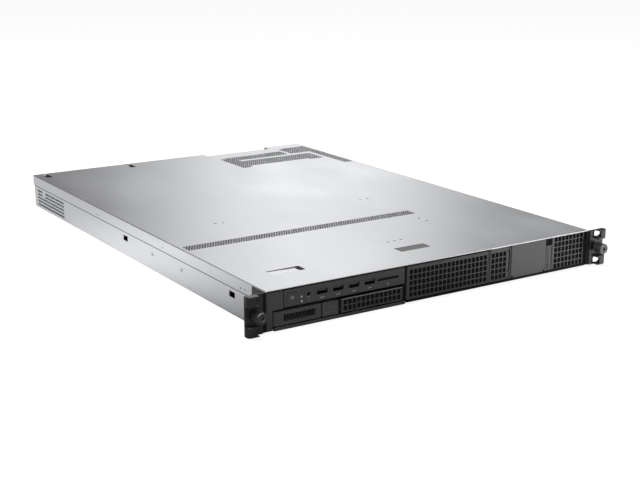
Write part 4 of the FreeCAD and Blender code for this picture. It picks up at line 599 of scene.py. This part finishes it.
def inside(x, y, loop):
    """Whether a point lies inside a loop."""
    hit = False
    for i in range(len(loop)):
        (x0, y0), (x1, y1) = loop[i - 1], loop[i]
        if (y0 > y) != (y1 > y) and x < (x1 - x0) * (y - y0) / (y1 - y0) + x0:
            hit = not hit
    return hit


def lifted(z):
    """Local x and y as they are, the plate's front up, its back at the given height."""
    return Matrix.Translation((0, 0, z))


def facing_front(y):
    """Local x to the right, local y up, the plate's front towards -Y at the given place of its back."""
    return Matrix.Translation((0, y, 0)) @ Matrix.Rotation(math.radians(90), 4, "X")


def facing_side(x):
    """Local x along +Y, local y up, the plate's front towards +X."""
    return Matrix(((0, 0, 1, x), (1, 0, 0, 0), (0, 1, 0, 0), (0, 0, 0, 1)))


SHARP = 40                              # degrees between two faces from which their edge is rounded


def rounded(thing, radius, segments=2):
    """Rounds an object's sharp edges."""
    bevel = thing.modifiers.new("edges", "BEVEL")
    bevel.width = radius * MM
    bevel.segments = segments
    bevel.limit_method = "ANGLE"
    bevel.angle_limit = math.radians(SHARP)
    thing.modifiers.new("normals", "WEIGHTED_NORMAL")


# ---------------------------------------------------------------- cover

COVER_LOW, COVER_HIGH = extent("top_cover")
COVER_METAL = 1.0
COVER_BEND = 0.9
BEND_STEPS = 5
HEM_LEFT = 70.8                         # the rounded front edge reaches from here to the right end
LIP = 0.35                              # thickness of the front edge left of the hem
FLANGE_FRONT = 24.3
RECESS = (50.0, 157.0, 13.0)            # left and right ends of the rear recess, and its depth
# Openings as left, front, right and rear: the release pad's window, and the rear notches.
PAD_WINDOW = (-20.2, 41.4, 20.2, 56.6)
NOTCHES = ((-206.75, 612.0, -199.25, 636.0), (-79.95, 612.0, -72.45, 636.0))

PULL = (-183.0, 42.4, -143.0, 57.2)     # finger recess, in the same order
PULL_DEPTHS = (0.9, 1.7, 3.0)           # its floor's depth at the left and right, and its pocket's
PULL_END = 4.5                          # length of the slope at its right end
PULL_WALL = 0.5
PULL_EDGE = 0.1                         # the slope ends this far below the sheet's top

# Painted shade on the sheet metal's cut edges: below the top, clear of the flanges, and behind the hem.
CUT_BELOW = 0.08
CUT_SIDE = 0.1
CUT_FRONT = 0.05
CUT_SHADE_COLOR = (0.17, 0.172, 0.176)

VENT_PITCH = 3.3
VENT_RISE = VENT_PITCH * math.sqrt(3) / 2
VENT_RADIUS = 1.56
VENT_MARGIN = 1.1                       # a hole is made where this much round its centre is in the field
STRIP_FIELD = ((-213.4, 171.3), (99.0, 171.3), (99.0, 188.4), (-213.4, 188.4))
REAR_FIELD = ((52.6, 520.6), (70.5, 520.6), (70.5, 529.6), (168.5, 529.6), (168.5, 523.2), (193.6, 523.2),
              (193.6, 564.5), (76, 564.5), (76, 570.6), (161, 570.6), (161, 598.8), (52.6, 594.2))
SIDE_FIELD = ((165.4, 572.4), (198.6, 572.4), (198.6, 477), (215.6, 477), (215.6, 617.6), (165.4, 613.4))

# Small round holes: on the top as X and Y, and on each flange as Y and Z.
COVER_DOTS = ((-8.9, 82.3), (0.2, 82.5), (9.2, 82.9), (85.8, 149.3), (86.8, 135.4), (-132, 260.2),
              (-122.6, 258.1), (82.4, 268.4), (93.1, 268.2))
FLANGE_DOTS = ((416, 33.4), (408, 33.8), (227.5, 34.1), (47.6, 33.9), (39.4, 34.3))
DOT_RADIUS = 1.6
DOT_SIDES = 8
FLANGE_DOT_RADIUS = DOT_RADIUS * 0.6
HOLE_SHADE_DROP = 0.05                        # a shade disc's face below the sheet's
HOLE_SHADE_GAP = 0.03                         # between a shade disc and its hole

CLIP_LAP = 1                            # the clips reach this far past the notches' sides and front
CLIP_DEPTHS = (2.4, 1.4)                # their underside and top below the sheet's top
CLIP_SOFT = 0.2
CHEEK_INSETS = (0.7, 0.1)               # its faces from the recess's right end
CHEEK_ENDS = (1.4, 0.5)                 # its front end from the recess's, its rear end from the back
CHEEK_LEVELS = (33.0, 41.8)
CHEEK_SOFT = 0.15
# Painted shadow strips along the seam under each flange.
SEAM_SHADOW_HIGH = 1.4
SEAM_SHADOW_THICK = 0.35
SEAM_SHADOW_CLEAR = 0.02                       # from the case side
SEAM_SHADOW_END = 1                            # from the back
SEAM_SHADOW_DROP = 0.05                        # from the flange
SEAM_SHADOW_SOFT = 0.05


def honeycomb(field):
    """Six-sided holes in staggered rows inside a field."""
    xs = [x for x, y in field]
    ys = [y for x, y in field]
    holes = []
    rows = int((max(ys) - min(ys) - 2 * VENT_MARGIN) / VENT_RISE) + 1
    columns = int((max(xs) - min(xs)) / VENT_PITCH) + 1
    for row in range(rows):
        y = min(ys) + VENT_RADIUS + row * VENT_RISE
        for column in range(columns):
            x = min(xs) + VENT_RADIUS + (column + 0.5 * (row % 2)) * VENT_PITCH
            around = rect(x - VENT_MARGIN, y - VENT_MARGIN, x + VENT_MARGIN, y + VENT_MARGIN)
            if all(inside(px, py, field) for px, py in around):
                holes.append(ngon(x, y, VENT_RADIUS, 6, math.radians(30)))
    return holes


def cover_top(bm):
    """The flat sheet with its vents, windows, notches and small holes."""
    left, right, deep = RECESS
    x0, y0 = COVER_LOW.x + COVER_BEND, COVER_LOW.y + COVER_BEND
    x1, y1 = COVER_HIGH.x - COVER_BEND, COVER_HIGH.y
    outline = [(x0, y0), (x1, y0), (x1, y1), (right, y1),
               (right, y1 - deep), (left, y1 - deep), (left, y1), (x0, y1)]
    holes = honeycomb(STRIP_FIELD) + honeycomb(REAR_FIELD) + honeycomb(SIDE_FIELD)
    holes += [ngon(x, y, DOT_RADIUS, DOT_SIDES) for x, y in COVER_DOTS]
    holes += [flipped(rect(*window)) for window in (PAD_WINDOW, PULL, *NOTCHES)]
    plate(bm, lifted(COVER_HIGH.z - COVER_METAL), COVER_METAL, outline, holes)


def cover_bends(bm):
    """Rounded edges, the flanges below the long ones, and the thin front edge left of the hem."""
    x0, y0 = COVER_LOW.x, COVER_LOW.y
    x1, y1, top = COVER_HIGH
    low = top - COVER_METAL
    side_start, front_start = x1 - COVER_BEND, y0 + COVER_BEND
    arc = quarter(COVER_BEND, BEND_STEPS)
    for side in (-1, 1):
        profile = [(side * (side_start + out), top - COVER_BEND + up) for out, up in arc]
        prism(bm, "y", profile + [(side * x1, low), (side * side_start, low)], y0, y1)
        dots = [ngon(y, z, FLANGE_DOT_RADIUS, DOT_SIDES) for y, z in FLANGE_DOTS]
        flange = rect(FLANGE_FRONT, COVER_LOW.z, y1, low)
        plate(bm, facing_side(side * x1 - (COVER_METAL if side > 0 else 0)), COVER_METAL, flange, dots)
    hem = [(front_start - out, top - COVER_BEND + up) for out, up in arc]
    prism(bm, "x", hem + [(y0, low), (front_start, low)], HEM_LEFT, side_start)
    lip = [(y0, top), (front_start, top), (front_start, top - LIP), (y0, top - LIP)]
    prism(bm, "x", lip, x0 + COVER_BEND, HEM_LEFT)


def pull_walls(bm):
    """Walls round the finger recess."""
    x0, y0, x1, y1 = PULL
    low, high = COVER_HIGH.z - PULL_DEPTHS[2], COVER_HIGH.z - COVER_METAL
    for y in (y0 - PULL_WALL, y1):
        block(bm, (x0, y, low), (x1, y + PULL_WALL, high))
    block(bm, (x1, y0 - PULL_WALL, low), (x1 + PULL_WALL, y1 + PULL_WALL, high))


def cover():
    """Folded sheet with rounded bends, punched vents, a finger recess and small holes."""
    bm = bmesh.new()
    cover_top(bm)
    cover_bends(bm)
    pull_walls(bm)
    # The cover's cut edges get painted shade, darker than its top.
    steel = painted_shade_on_cuts(sheet_steel("cover_steel", STEEL), (COVER_HIGH.z - CUT_BELOW) * MM, CUT_SHADE_COLOR,
                        (COVER_HIGH.x - COVER_METAL - CUT_SIDE) * MM,
                        (COVER_LOW.y + COVER_BEND + CUT_FRONT) * MM)
    piece("cover_sheet", "cover", "galvanised_steel", bm, steel, stands_for=("top_cover",))


def notch_clips():
    """Dark clips under the rear notches."""
    bm = bmesh.new()
    low, high = [COVER_HIGH.z - depth for depth in CLIP_DEPTHS]
    for x0, y0, x1, y1 in NOTCHES:
        block(bm, (x0 - CLIP_LAP, y0 - CLIP_LAP, low), (x1 + CLIP_LAP, y1 - CLIP_LAP, high), CLIP_SOFT)
    piece("notch_clips", "cover", "black_plastic", bm)


def recess_cheek():
    """Dark cheek at the right end of the rear recess."""
    bm = bmesh.new()
    _, right, deep = RECESS
    back = COVER_HIGH.y
    block(bm, (right - CHEEK_INSETS[0], back - deep + CHEEK_ENDS[0], CHEEK_LEVELS[0]),
          (right - CHEEK_INSETS[1], back - CHEEK_ENDS[1], CHEEK_LEVELS[1]), CHEEK_SOFT)
    piece("recess_cheek", "chassis", "black_plastic", bm)


def finger_recess():
    """The recess's pressed floor in a lighter steel, as painted light, and the steep slope at its right end
    in dark steel, as painted shade.
    """
    x0, y0, x1, y1 = PULL
    top = COVER_HIGH.z
    shallow, deep, _ = [top - depth for depth in PULL_DEPTHS]
    turn = x1 - PULL_END
    base = deep - PULL_WALL
    bm = bmesh.new()
    prism(bm, "y", [(x0, shallow), (turn, deep), (turn, base), (x0, shallow - PULL_WALL)], y0, y1)
    piece("pull_floor", "cover", "galvanised_steel", bm, PAINTED_LIGHT_STEEL)
    bm = bmesh.new()
    # The slope is dark steel: painted shade.
    prism(bm, "y", [(turn, deep), (x1, top - PULL_EDGE), (x1, base), (turn, base)], y0, y1)
    piece("pull_end_shade", "cover", "dark_steel", bm)


def hole_shades():
    """Black discs that fill the small round holes, as painted shade of their depths."""
    bm = bmesh.new()
    thick = COVER_METAL - HOLE_SHADE_DROP

    def hole_shade(turn, x, y, radius):
        plate(bm, turn, thick, flipped(ngon(x, y, radius - HOLE_SHADE_GAP, DOT_SIDES)))

    for x, y in COVER_DOTS:
        hole_shade(lifted(COVER_HIGH.z - COVER_METAL), x, y, DOT_RADIUS)
    for side in (-1, 1):
        base = side * COVER_HIGH.x - (COVER_METAL if side > 0 else -HOLE_SHADE_DROP)
        for y, z in FLANGE_DOTS:
            hole_shade(facing_side(base), y, z, FLANGE_DOT_RADIUS)
    piece("cover_hole_shades", "cover", "black_plastic", bm)


def flange_shadows():
    """Painted shadow under the cover's flanges: a dark strip on the case sides."""
    bm = bmesh.new()
    side = extent("chassis_pan")[1].x
    low, high = COVER_LOW.z - SEAM_SHADOW_HIGH, COVER_LOW.z - SEAM_SHADOW_DROP
    for sign in (-1, 1):
        left, right = sorted((sign * (side + SEAM_SHADOW_CLEAR), sign * (side + SEAM_SHADOW_THICK)))
        block(bm, (left, FLANGE_FRONT, low), (right, COVER_HIGH.y - SEAM_SHADOW_END, high), SEAM_SHADOW_SOFT)
    piece("flange_shadow_strips", "chassis", "black_plastic", bm)


cover()
notch_clips()
recess_cheek()
finger_recess()
hole_shades()
flange_shadows()


# ---------------------------------------------------------------- bezel

MODULE_DEPTH = 3.0                      # of the bezel's grilles and latch strip
HOLE_WIDE = 4.65
HOLE_HIGH = 5.3
HOLE_CORNER = 0.45
PITCH_X = 5.65
PITCH_Z = 6.3
RIM = 1.5                               # raised rim round a grille's field
RIM_THIN = 0.5                          # where the holes reach nearly to the edge
RIM_BLANK = 0.8
RIM_CHAMFER = 0.45
FIELD_SKIN = 1.4                        # thickness of the field
FIELD_DROP = 0.55                       # field behind the rim
BACKING_GAP = 0.1                           # between the black backing and what surrounds it
BACKING_REAR_GAP = 0.05                         # between the black backing and the module's back
RAIL_DROP = 1.0                         # the blank's side rails are this much lower than its face
RAIL_THICK = 2.0
RAIL_SOFT = 0.2
# Columns and rows of holes, and the X and Z of the first one's centre.
GRILLES = {
    "grille_centre": (19, 5, -37.15, 8.05),
    "grille_narrow": (4, 5, 75.7, 8.05),
    "grille_right": (8, 6, 169.7, 6.65),
    "drive_blank": (13, 2, -121.1, 8.35),
}
# The slot beside the narrow grille's holes and the one in the latch strip, as X and Z.
C_SLOT = [(96.3, 36.8), (98.5, 36.6), (99.8, 35.0), (99.8, 14.0), (98.7, 12.0), (96.3, 11.4), (96.3, 12.9),
          (97.9, 13.3), (98.6, 14.5), (98.6, 34.3), (97.9, 35.3), (96.3, 35.5)]
STRIP_SLOT = [(156.5, 32.0), (157.2, 32.0), (157.2, 11.4), (158.0, 11.4), (158.0, 8.0), (157.2, 8.0),
              (157.2, 4.2), (156.5, 4.2)]
STRIP_CHAMFER = 0.4

# Black strips as painted shade in the gaps: above the latch strip, and under the cover's front edge.
STRIP_GAP_SHADE = ((2.2, 0.3), (3.2, 41.6))  # Y and Z of its corners, the first Z from the strip's top
COVER_GAP_SHADE = ((-195.0, -0.4, 40.9), (70.4, 3.4, 42.05))  # its low and high corners
GAP_SHADE_SOFT = 0.1
# The band on the pan's front lip and the bead on it: X ends, Y before the lip, Z, and softness.
LIP_ENDS = (-207.4, -46.3)
LIP_TRIM = (((0.35, 0.02), (0.15, 3.2), 0.12), ((0.55, 0.3), (1.5, 2.1), 0.1))


def grille(node, body, extra=(), rim=RIM, rails=()):
    """Bezel module with a raised rim round a field of rectangular holes, and a black backing behind them as
    painted shade.
    """
    low, high = extent(node)
    columns, rows, first_x, first_z = GRILLES[node]
    back = low.y + MODULE_DEPTH
    field_back = low.y + FIELD_DROP + FIELD_SKIN
    outer = rect(low.x, low.z, high.x, high.z)
    inner = rect(low.x + RIM, low.z + rim, high.x - RIM, high.z - rim)
    holes = [flipped(rect_at(first_x + i * PITCH_X, first_z + k * PITCH_Z, HOLE_WIDE, HOLE_HIGH, HOLE_CORNER))
             for i in range(columns) for k in range(rows)]
    bm = bmesh.new()
    plate(bm, facing_front(back), MODULE_DEPTH, outer, [flipped(inner)], min(RIM_CHAMFER, rim))
    plate(bm, facing_front(field_back), FIELD_SKIN, inner, holes + list(extra))
    for rail_low, rail_high in rails:
        block(bm, rail_low, rail_high, RAIL_SOFT)
    piece(node + "_face", body, "bezel_plastic", bm, stands_for=(node,))
    # Black backing behind the holes: painted shade of the depths behind them.
    bm = bmesh.new()
    (left, bottom), (right, top) = inner[0], inner[2]
    block(bm, (left + BACKING_GAP, field_back + BACKING_GAP, bottom + BACKING_GAP),
          (right - BACKING_GAP, back - BACKING_REAR_GAP, top - BACKING_GAP))
    piece(node + "_shade_backing", body, "black_plastic", bm)


def grilles():
    """The three fixed grilles, and the drive blank with its side rails."""
    grille("grille_centre", "chassis")
    grille("grille_narrow", "chassis", [C_SLOT])
    grille("grille_right", "chassis", rim=RIM_THIN)
    low, high = extent("drive_blank")
    rails = [((x, low.y + MODULE_DEPTH, low.z + RAIL_DROP), (x + RAIL_THICK, high.y, high.z - RAIL_DROP))
             for x in (low.x, high.x - RAIL_THICK)]
    grille("drive_blank", "drive_blank", rim=RIM_BLANK, rails=rails)


def latch_strip():
    """Latch strip with its slot."""
    low, high = extent("latch_strip")
    bm = bmesh.new()
    outline = rect(low.x, low.z, high.x, high.z)
    plate(bm, facing_front(high.y), MODULE_DEPTH, outline, [STRIP_SLOT], STRIP_CHAMFER)
    piece("latch_strip_face", "chassis", "bezel_plastic", bm, stands_for=("latch_strip",))


def gap_shades():
    """Black strips, painted shade in the gaps between the modules."""
    low, high = extent("latch_strip")
    (front, above), (back, top) = STRIP_GAP_SHADE
    bm = bmesh.new()
    block(bm, (low.x, front, high.z + above), (high.x, back, top), GAP_SHADE_SOFT)
    block(bm, *COVER_GAP_SHADE, GAP_SHADE_SOFT)
    piece("gap_shades", "chassis", "black_plastic", bm)


def lip_trim():
    """Dark band along the pan's front lip, with a bead on it."""
    lip = extent("chassis_pan")[0].y
    left, right = LIP_ENDS
    bm = bmesh.new()
    for (front, back), (bottom, top), soft in LIP_TRIM:
        block(bm, (left, lip - front, bottom), (right, lip - back, top), soft)
    piece("lip_trim", "chassis", "bezel_plastic", bm)


MARK_THICK = 0.06
MARK_LIFT = 0.05                        # a mark's front before the surface that it is printed on
MARK_SIDES = 12
# Marks on the input panel: dots as X, Z and radius, a dash as X, Z, width and height.
PANEL_DOTS = ((-166.7, 28.8, 0.5), (-68.2, 25.5, 0.75))
PANEL_DASH = (-165.4, 24.7, 0.5, 1.5)
# Each port's mark is three dashes: X from the port's middle, Z, width and height.
PORT_MIDDLES = (-149.7, -130.2, -110.8, -91.0)
PORT_MARK = ((0, 25.3, 4.6, 0.4), (-2.2, 25.3, 0.8, 0.9), (1.2, 25.9, 0.7, 0.7))
# The power mark: a ring open at the top, and a stroke in the opening.
RING_RADII = (1.7, 1.25)
RING_OPEN = 40                          # degrees from straight up to the ring's ends
RING_STEPS = 16
RING_BACK = 0.01                        # the ring's back behind the button's face
STROKE = (1.1, 0.45, 1.7)               # its middle above the ring's, its width and its height


def dash(bm, x, z, wide, high, y):
    """A thin upright rectangle round a point, with its front at the given place."""
    plate(bm, facing_front(y + MARK_THICK), MARK_THICK, rect_at(x, z, wide, high))


def panel_marks():
    """Small plain marks printed on the input panel."""
    face = extent("io_panel")[0].y - MARK_LIFT
    bm = bmesh.new()
    for x, z, radius in PANEL_DOTS:
        plate(bm, facing_front(face + MARK_THICK), MARK_THICK, flipped(ngon(x, z, radius, MARK_SIDES)))
    dash(bm, *PANEL_DASH, face)
    for middle in PORT_MIDDLES:
        for along, z, wide, high in PORT_MARK:
            dash(bm, middle + along, z, wide, high, face)
    piece("panel_marks", "chassis", "lens", bm)


def power_mark():
    """The plain mark on the power button."""
    low, high = extent("power_button")
    x, z = (low.x + high.x) / 2, (low.z + high.z) / 2
    arc = [math.radians(RING_OPEN + (360 - 2 * RING_OPEN) * i / RING_STEPS) for i in range(RING_STEPS + 1)]
    ring = [(x + RING_RADII[0] * math.sin(a), z + RING_RADII[0] * math.cos(a)) for a in arc]
    ring += [(x + RING_RADII[1] * math.sin(a), z + RING_RADII[1] * math.cos(a)) for a in reversed(arc)]
    bm = bmesh.new()
    plate(bm, facing_front(low.y + RING_BACK), MARK_THICK, flipped(ring))
    above, wide, tall = STROKE
    dash(bm, x, z + above, wide, tall, low.y - MARK_LIFT)
    piece("power_mark", "power_button", "lens", bm)


grilles()
latch_strip()
gap_shades()
lip_trim()
panel_marks()
power_mark()


# ---------------------------------------------------------------- rack ears

EAR_SKIN = 1.0
EAR_INNER = 220.6
EAR_CORNER = 0.6
EAR_SOFT = 0.3
HOOD_LONG = 13.2
HOOD_HIGH = 11.2
HOOD_WALL = 1.9
HOOD_ROUND = 4.4
HOOD_STEPS = 6
HOOD_LIP = 3.6                          # how far the hood's front stands back from its open side
HOOD_SOFT = 0.7
HOOD_SEGMENTS = 3
SLOT_LEVELS = (5.725, 37.475)
SLOT_HALF = 3.7
SLOT_REACH = (3.2, 14.2)                # the slot's ends from the ear's outer edge
SLOT_CORNER = 1.2
COLLAR_X = 229.6                        # the screw's hole
COLLAR_RADIUS = 5.7
COLLAR_SIDES = 32
# How far the cutting tool stands out of the hood, at its open side and at its front and back.
PAST_SIDE = 3
PAST_FACE = 1
SHADOW_ENDS = (216.5, 221.5)            # dark strip between the ear's skin and the case
SHADOW_DEPTHS = (0.35, 0.05)            # its faces before the skin's back
SHADOW_DROP = 0.6
SHADOW_SOFT = 0.08


def carve(solid, tool, into):
    """Cuts one closed bmesh out of another and adds what is left to a third."""
    things = []
    for bm in (solid, tool):
        mesh = bpy.data.meshes.new("carving")
        bmesh.ops.recalc_face_normals(bm, faces=bm.faces)
        bm.to_mesh(mesh)
        bm.free()
        thing = bpy.data.objects.new("carving", mesh)
        scene.collection.objects.link(thing)
        things.append(thing)
    knife = things[0].modifiers.new("knife", "BOOLEAN")
    knife.operation = "DIFFERENCE"
    knife.solver = "EXACT"
    knife.object = things[1]
    view = bpy.context.evaluated_depsgraph_get()
    into.from_mesh(things[0].evaluated_get(view).data)
    for thing in things:
        mesh = thing.data
        bpy.data.objects.remove(thing)
        bpy.data.meshes.remove(mesh)


def ear_skin(low, high, outer):
    """Flat skin with the rack slots and the screw's hole."""
    slots = [flipped(rect(outer - SLOT_REACH[1], level - SLOT_HALF,
                          outer - SLOT_REACH[0], level + SLOT_HALF, SLOT_CORNER)) for level in SLOT_LEVELS]
    collar = ngon(COLLAR_X, (low.z + high.z) / 2, COLLAR_RADIUS, COLLAR_SIDES)
    outline = rect(EAR_INNER, low.z, outer, high.z, EAR_CORNER)
    bm = bmesh.new()
    plate(bm, facing_front(high.y), EAR_SKIN, outline, slots + [collar])
    return bm


def ear_hoods(low, high, outer):
    """A hook-shaped hood over each rack slot, open towards the case."""
    front, back = low.y, high.y
    open_side = outer - HOOD_LONG
    column = [(open_side, back - EAR_SKIN), (open_side, front)]
    arc = quarter(HOOD_ROUND, HOOD_STEPS)
    column += [(outer - HOOD_ROUND + out, front + HOOD_ROUND - up) for out, up in arc]
    column += [(outer, back - EAR_SKIN)]
    lip = open_side + HOOD_LIP
    wall_in, wall_back = outer - HOOD_WALL, front + HOOD_WALL
    pocket = [(open_side - PAST_SIDE, front - PAST_FACE), (lip, front - PAST_FACE), (lip, wall_back),
              (wall_in, wall_back), (wall_in, back + PAST_FACE), (open_side - PAST_SIDE, back + PAST_FACE)]
    bm = bmesh.new()
    for level, sign in zip(SLOT_LEVELS, (-1, 1)):
        centre = (low.z + high.z) / 2 + sign * (high.z - low.z - HOOD_HIGH) / 2
        solid = bmesh.new()
        prism(solid, "z", column, centre - HOOD_HIGH / 2, centre + HOOD_HIGH / 2)
        tool = bmesh.new()
        prism(tool, "z", pocket, level - SLOT_HALF, level + SLOT_HALF)
        carve(solid, tool, bm)
    return bm


def ear_shadow(low, high):
    """Dark strip between the skin and the case."""
    left, right = SHADOW_ENDS
    front, back = [high.y - depth for depth in SHADOW_DEPTHS]
    bm = bmesh.new()
    block(bm, (left, front, low.z + SHADOW_DROP), (right, back, high.z - SHADOW_DROP), SHADOW_SOFT)
    return bm


def ear(side, name):
    """Moulded ear, made as the right-hand one and mirrored for the left."""
    low, high = extent("ear_cap_" + name)
    outer = high.x if side > 0 else -low.x
    made = (ear_skin(low, high, outer), ear_hoods(low, high, outer), ear_shadow(low, high))
    if side < 0:
        for bm in made:
            bmesh.ops.scale(bm, vec=(-1, 1, 1), verts=bm.verts)
    mould, hoods, shadow = made
    cap = ("ear_cap_" + name,)
    rounded(piece("ear_mould_" + name, "chassis", "ear_steel", mould, stands_for=cap), EAR_SOFT)
    rounded(piece("ear_hoods_" + name, "chassis", "ear_steel", hoods), HOOD_SOFT, HOOD_SEGMENTS)
    piece("ear_shadow_" + name, "chassis", "black_plastic", shadow)


ear(-1, "left")
ear(1, "right")


# ---------------------------------------------------------------- thumbscrews

SCREW_SIDES = 72
KNURL_DEPTH = 0.28


def screw_reach(radius, form, number):
    """How far one of a ring's points lies from the axis."""
    if form == "knurled" and number % 2:
        return radius - KNURL_DEPTH
    if form == "hexagon":
        angle = 2 * math.pi * number / SCREW_SIDES
        turn = (angle % (math.pi / 3)) - math.pi / 6
        return radius * math.cos(math.pi / 6) / math.cos(turn)
    return radius


def thumbscrew(name):
    """Turned screw with a knurled knob, a bevelled face and a hexagon socket."""
    node = "thumbscrew_" + name
    low, high = extent(node)
    x, z = (low.x + high.x) / 2, (low.z + high.z) / 2
    front = low.y
    # Radius and place along the screw, from its tip through shank, collar and knob to the socket.
    rings = ((0.01, 7.0, "round"), (1.9, 7.0, "round"), (2.48, 6.4, "round"), (2.48, 0.3, "round"),
             (2.2, 0.1, "round"), (2.2, -1.5, "round"), (4.2, -1.7, "round"), (4.2, -4.9, "round"),
             (5.4, -5.0, "round"), (6.15, -5.7, "round"), (6.2, -6.1, "knurled"),
             (6.2, front + 1.0, "knurled"), (6.1, front + 0.75, "round"), (5.5, front, "round"),
             (2.6, front, "round"), (2.35, front + 0.25, "round"), (2.0, front + 0.25, "hexagon"),
             (2.0, front + 2.0, "hexagon"), (0.01, front + 2.2, "round"))
    bm = bmesh.new()
    made = []
    for radius, y, form in rings:
        ring = []
        for i in range(SCREW_SIDES):
            angle = 2 * math.pi * i / SCREW_SIDES
            reach = screw_reach(radius, form, i)
            ring.append(bm.verts.new((x + reach * math.cos(angle), y, z + reach * math.sin(angle))))
        made.append(ring)
    skin(bm, made)
    for ring in (made[0], made[-1]):
        bm.faces.new(ring)
    piece("knob_" + name, node, SLOT_OF[node], bm, stands_for=(node,))


thumbscrew("left")
thumbscrew("right")


# ---------------------------------------------------------------- soft edges on the CAD pieces

WELD_GAP = 0.002
# Edge radius in millimetres of the pieces whose edges show.
EDGES = {0.6: ("badge_panel", "io_panel", "blank_panel"),
         0.3: ("carrier_button", "carrier_lever", "power_button", "release_pad"),
         0.2: ("ear_bracket_left", "ear_bracket_right",
               "psu_1_case", "psu_2_case", "front_frame", "psu_1_latch", "psu_2_latch"),
         0.12: ("front_ports", "info_tab", "psu_1_inlet", "psu_2_inlet", "rear_ports", "status_lenses")}


def soften(node, radius):
    """Welds a CAD node's faces together and rounds its sharp edges."""
    weld = NODES[node].modifiers.new("weld", "WELD")
    weld.merge_threshold = WELD_GAP * MM
    rounded(NODES[node], radius)


for radius, names in EDGES.items():
    for name in names:
        soften(name, radius)
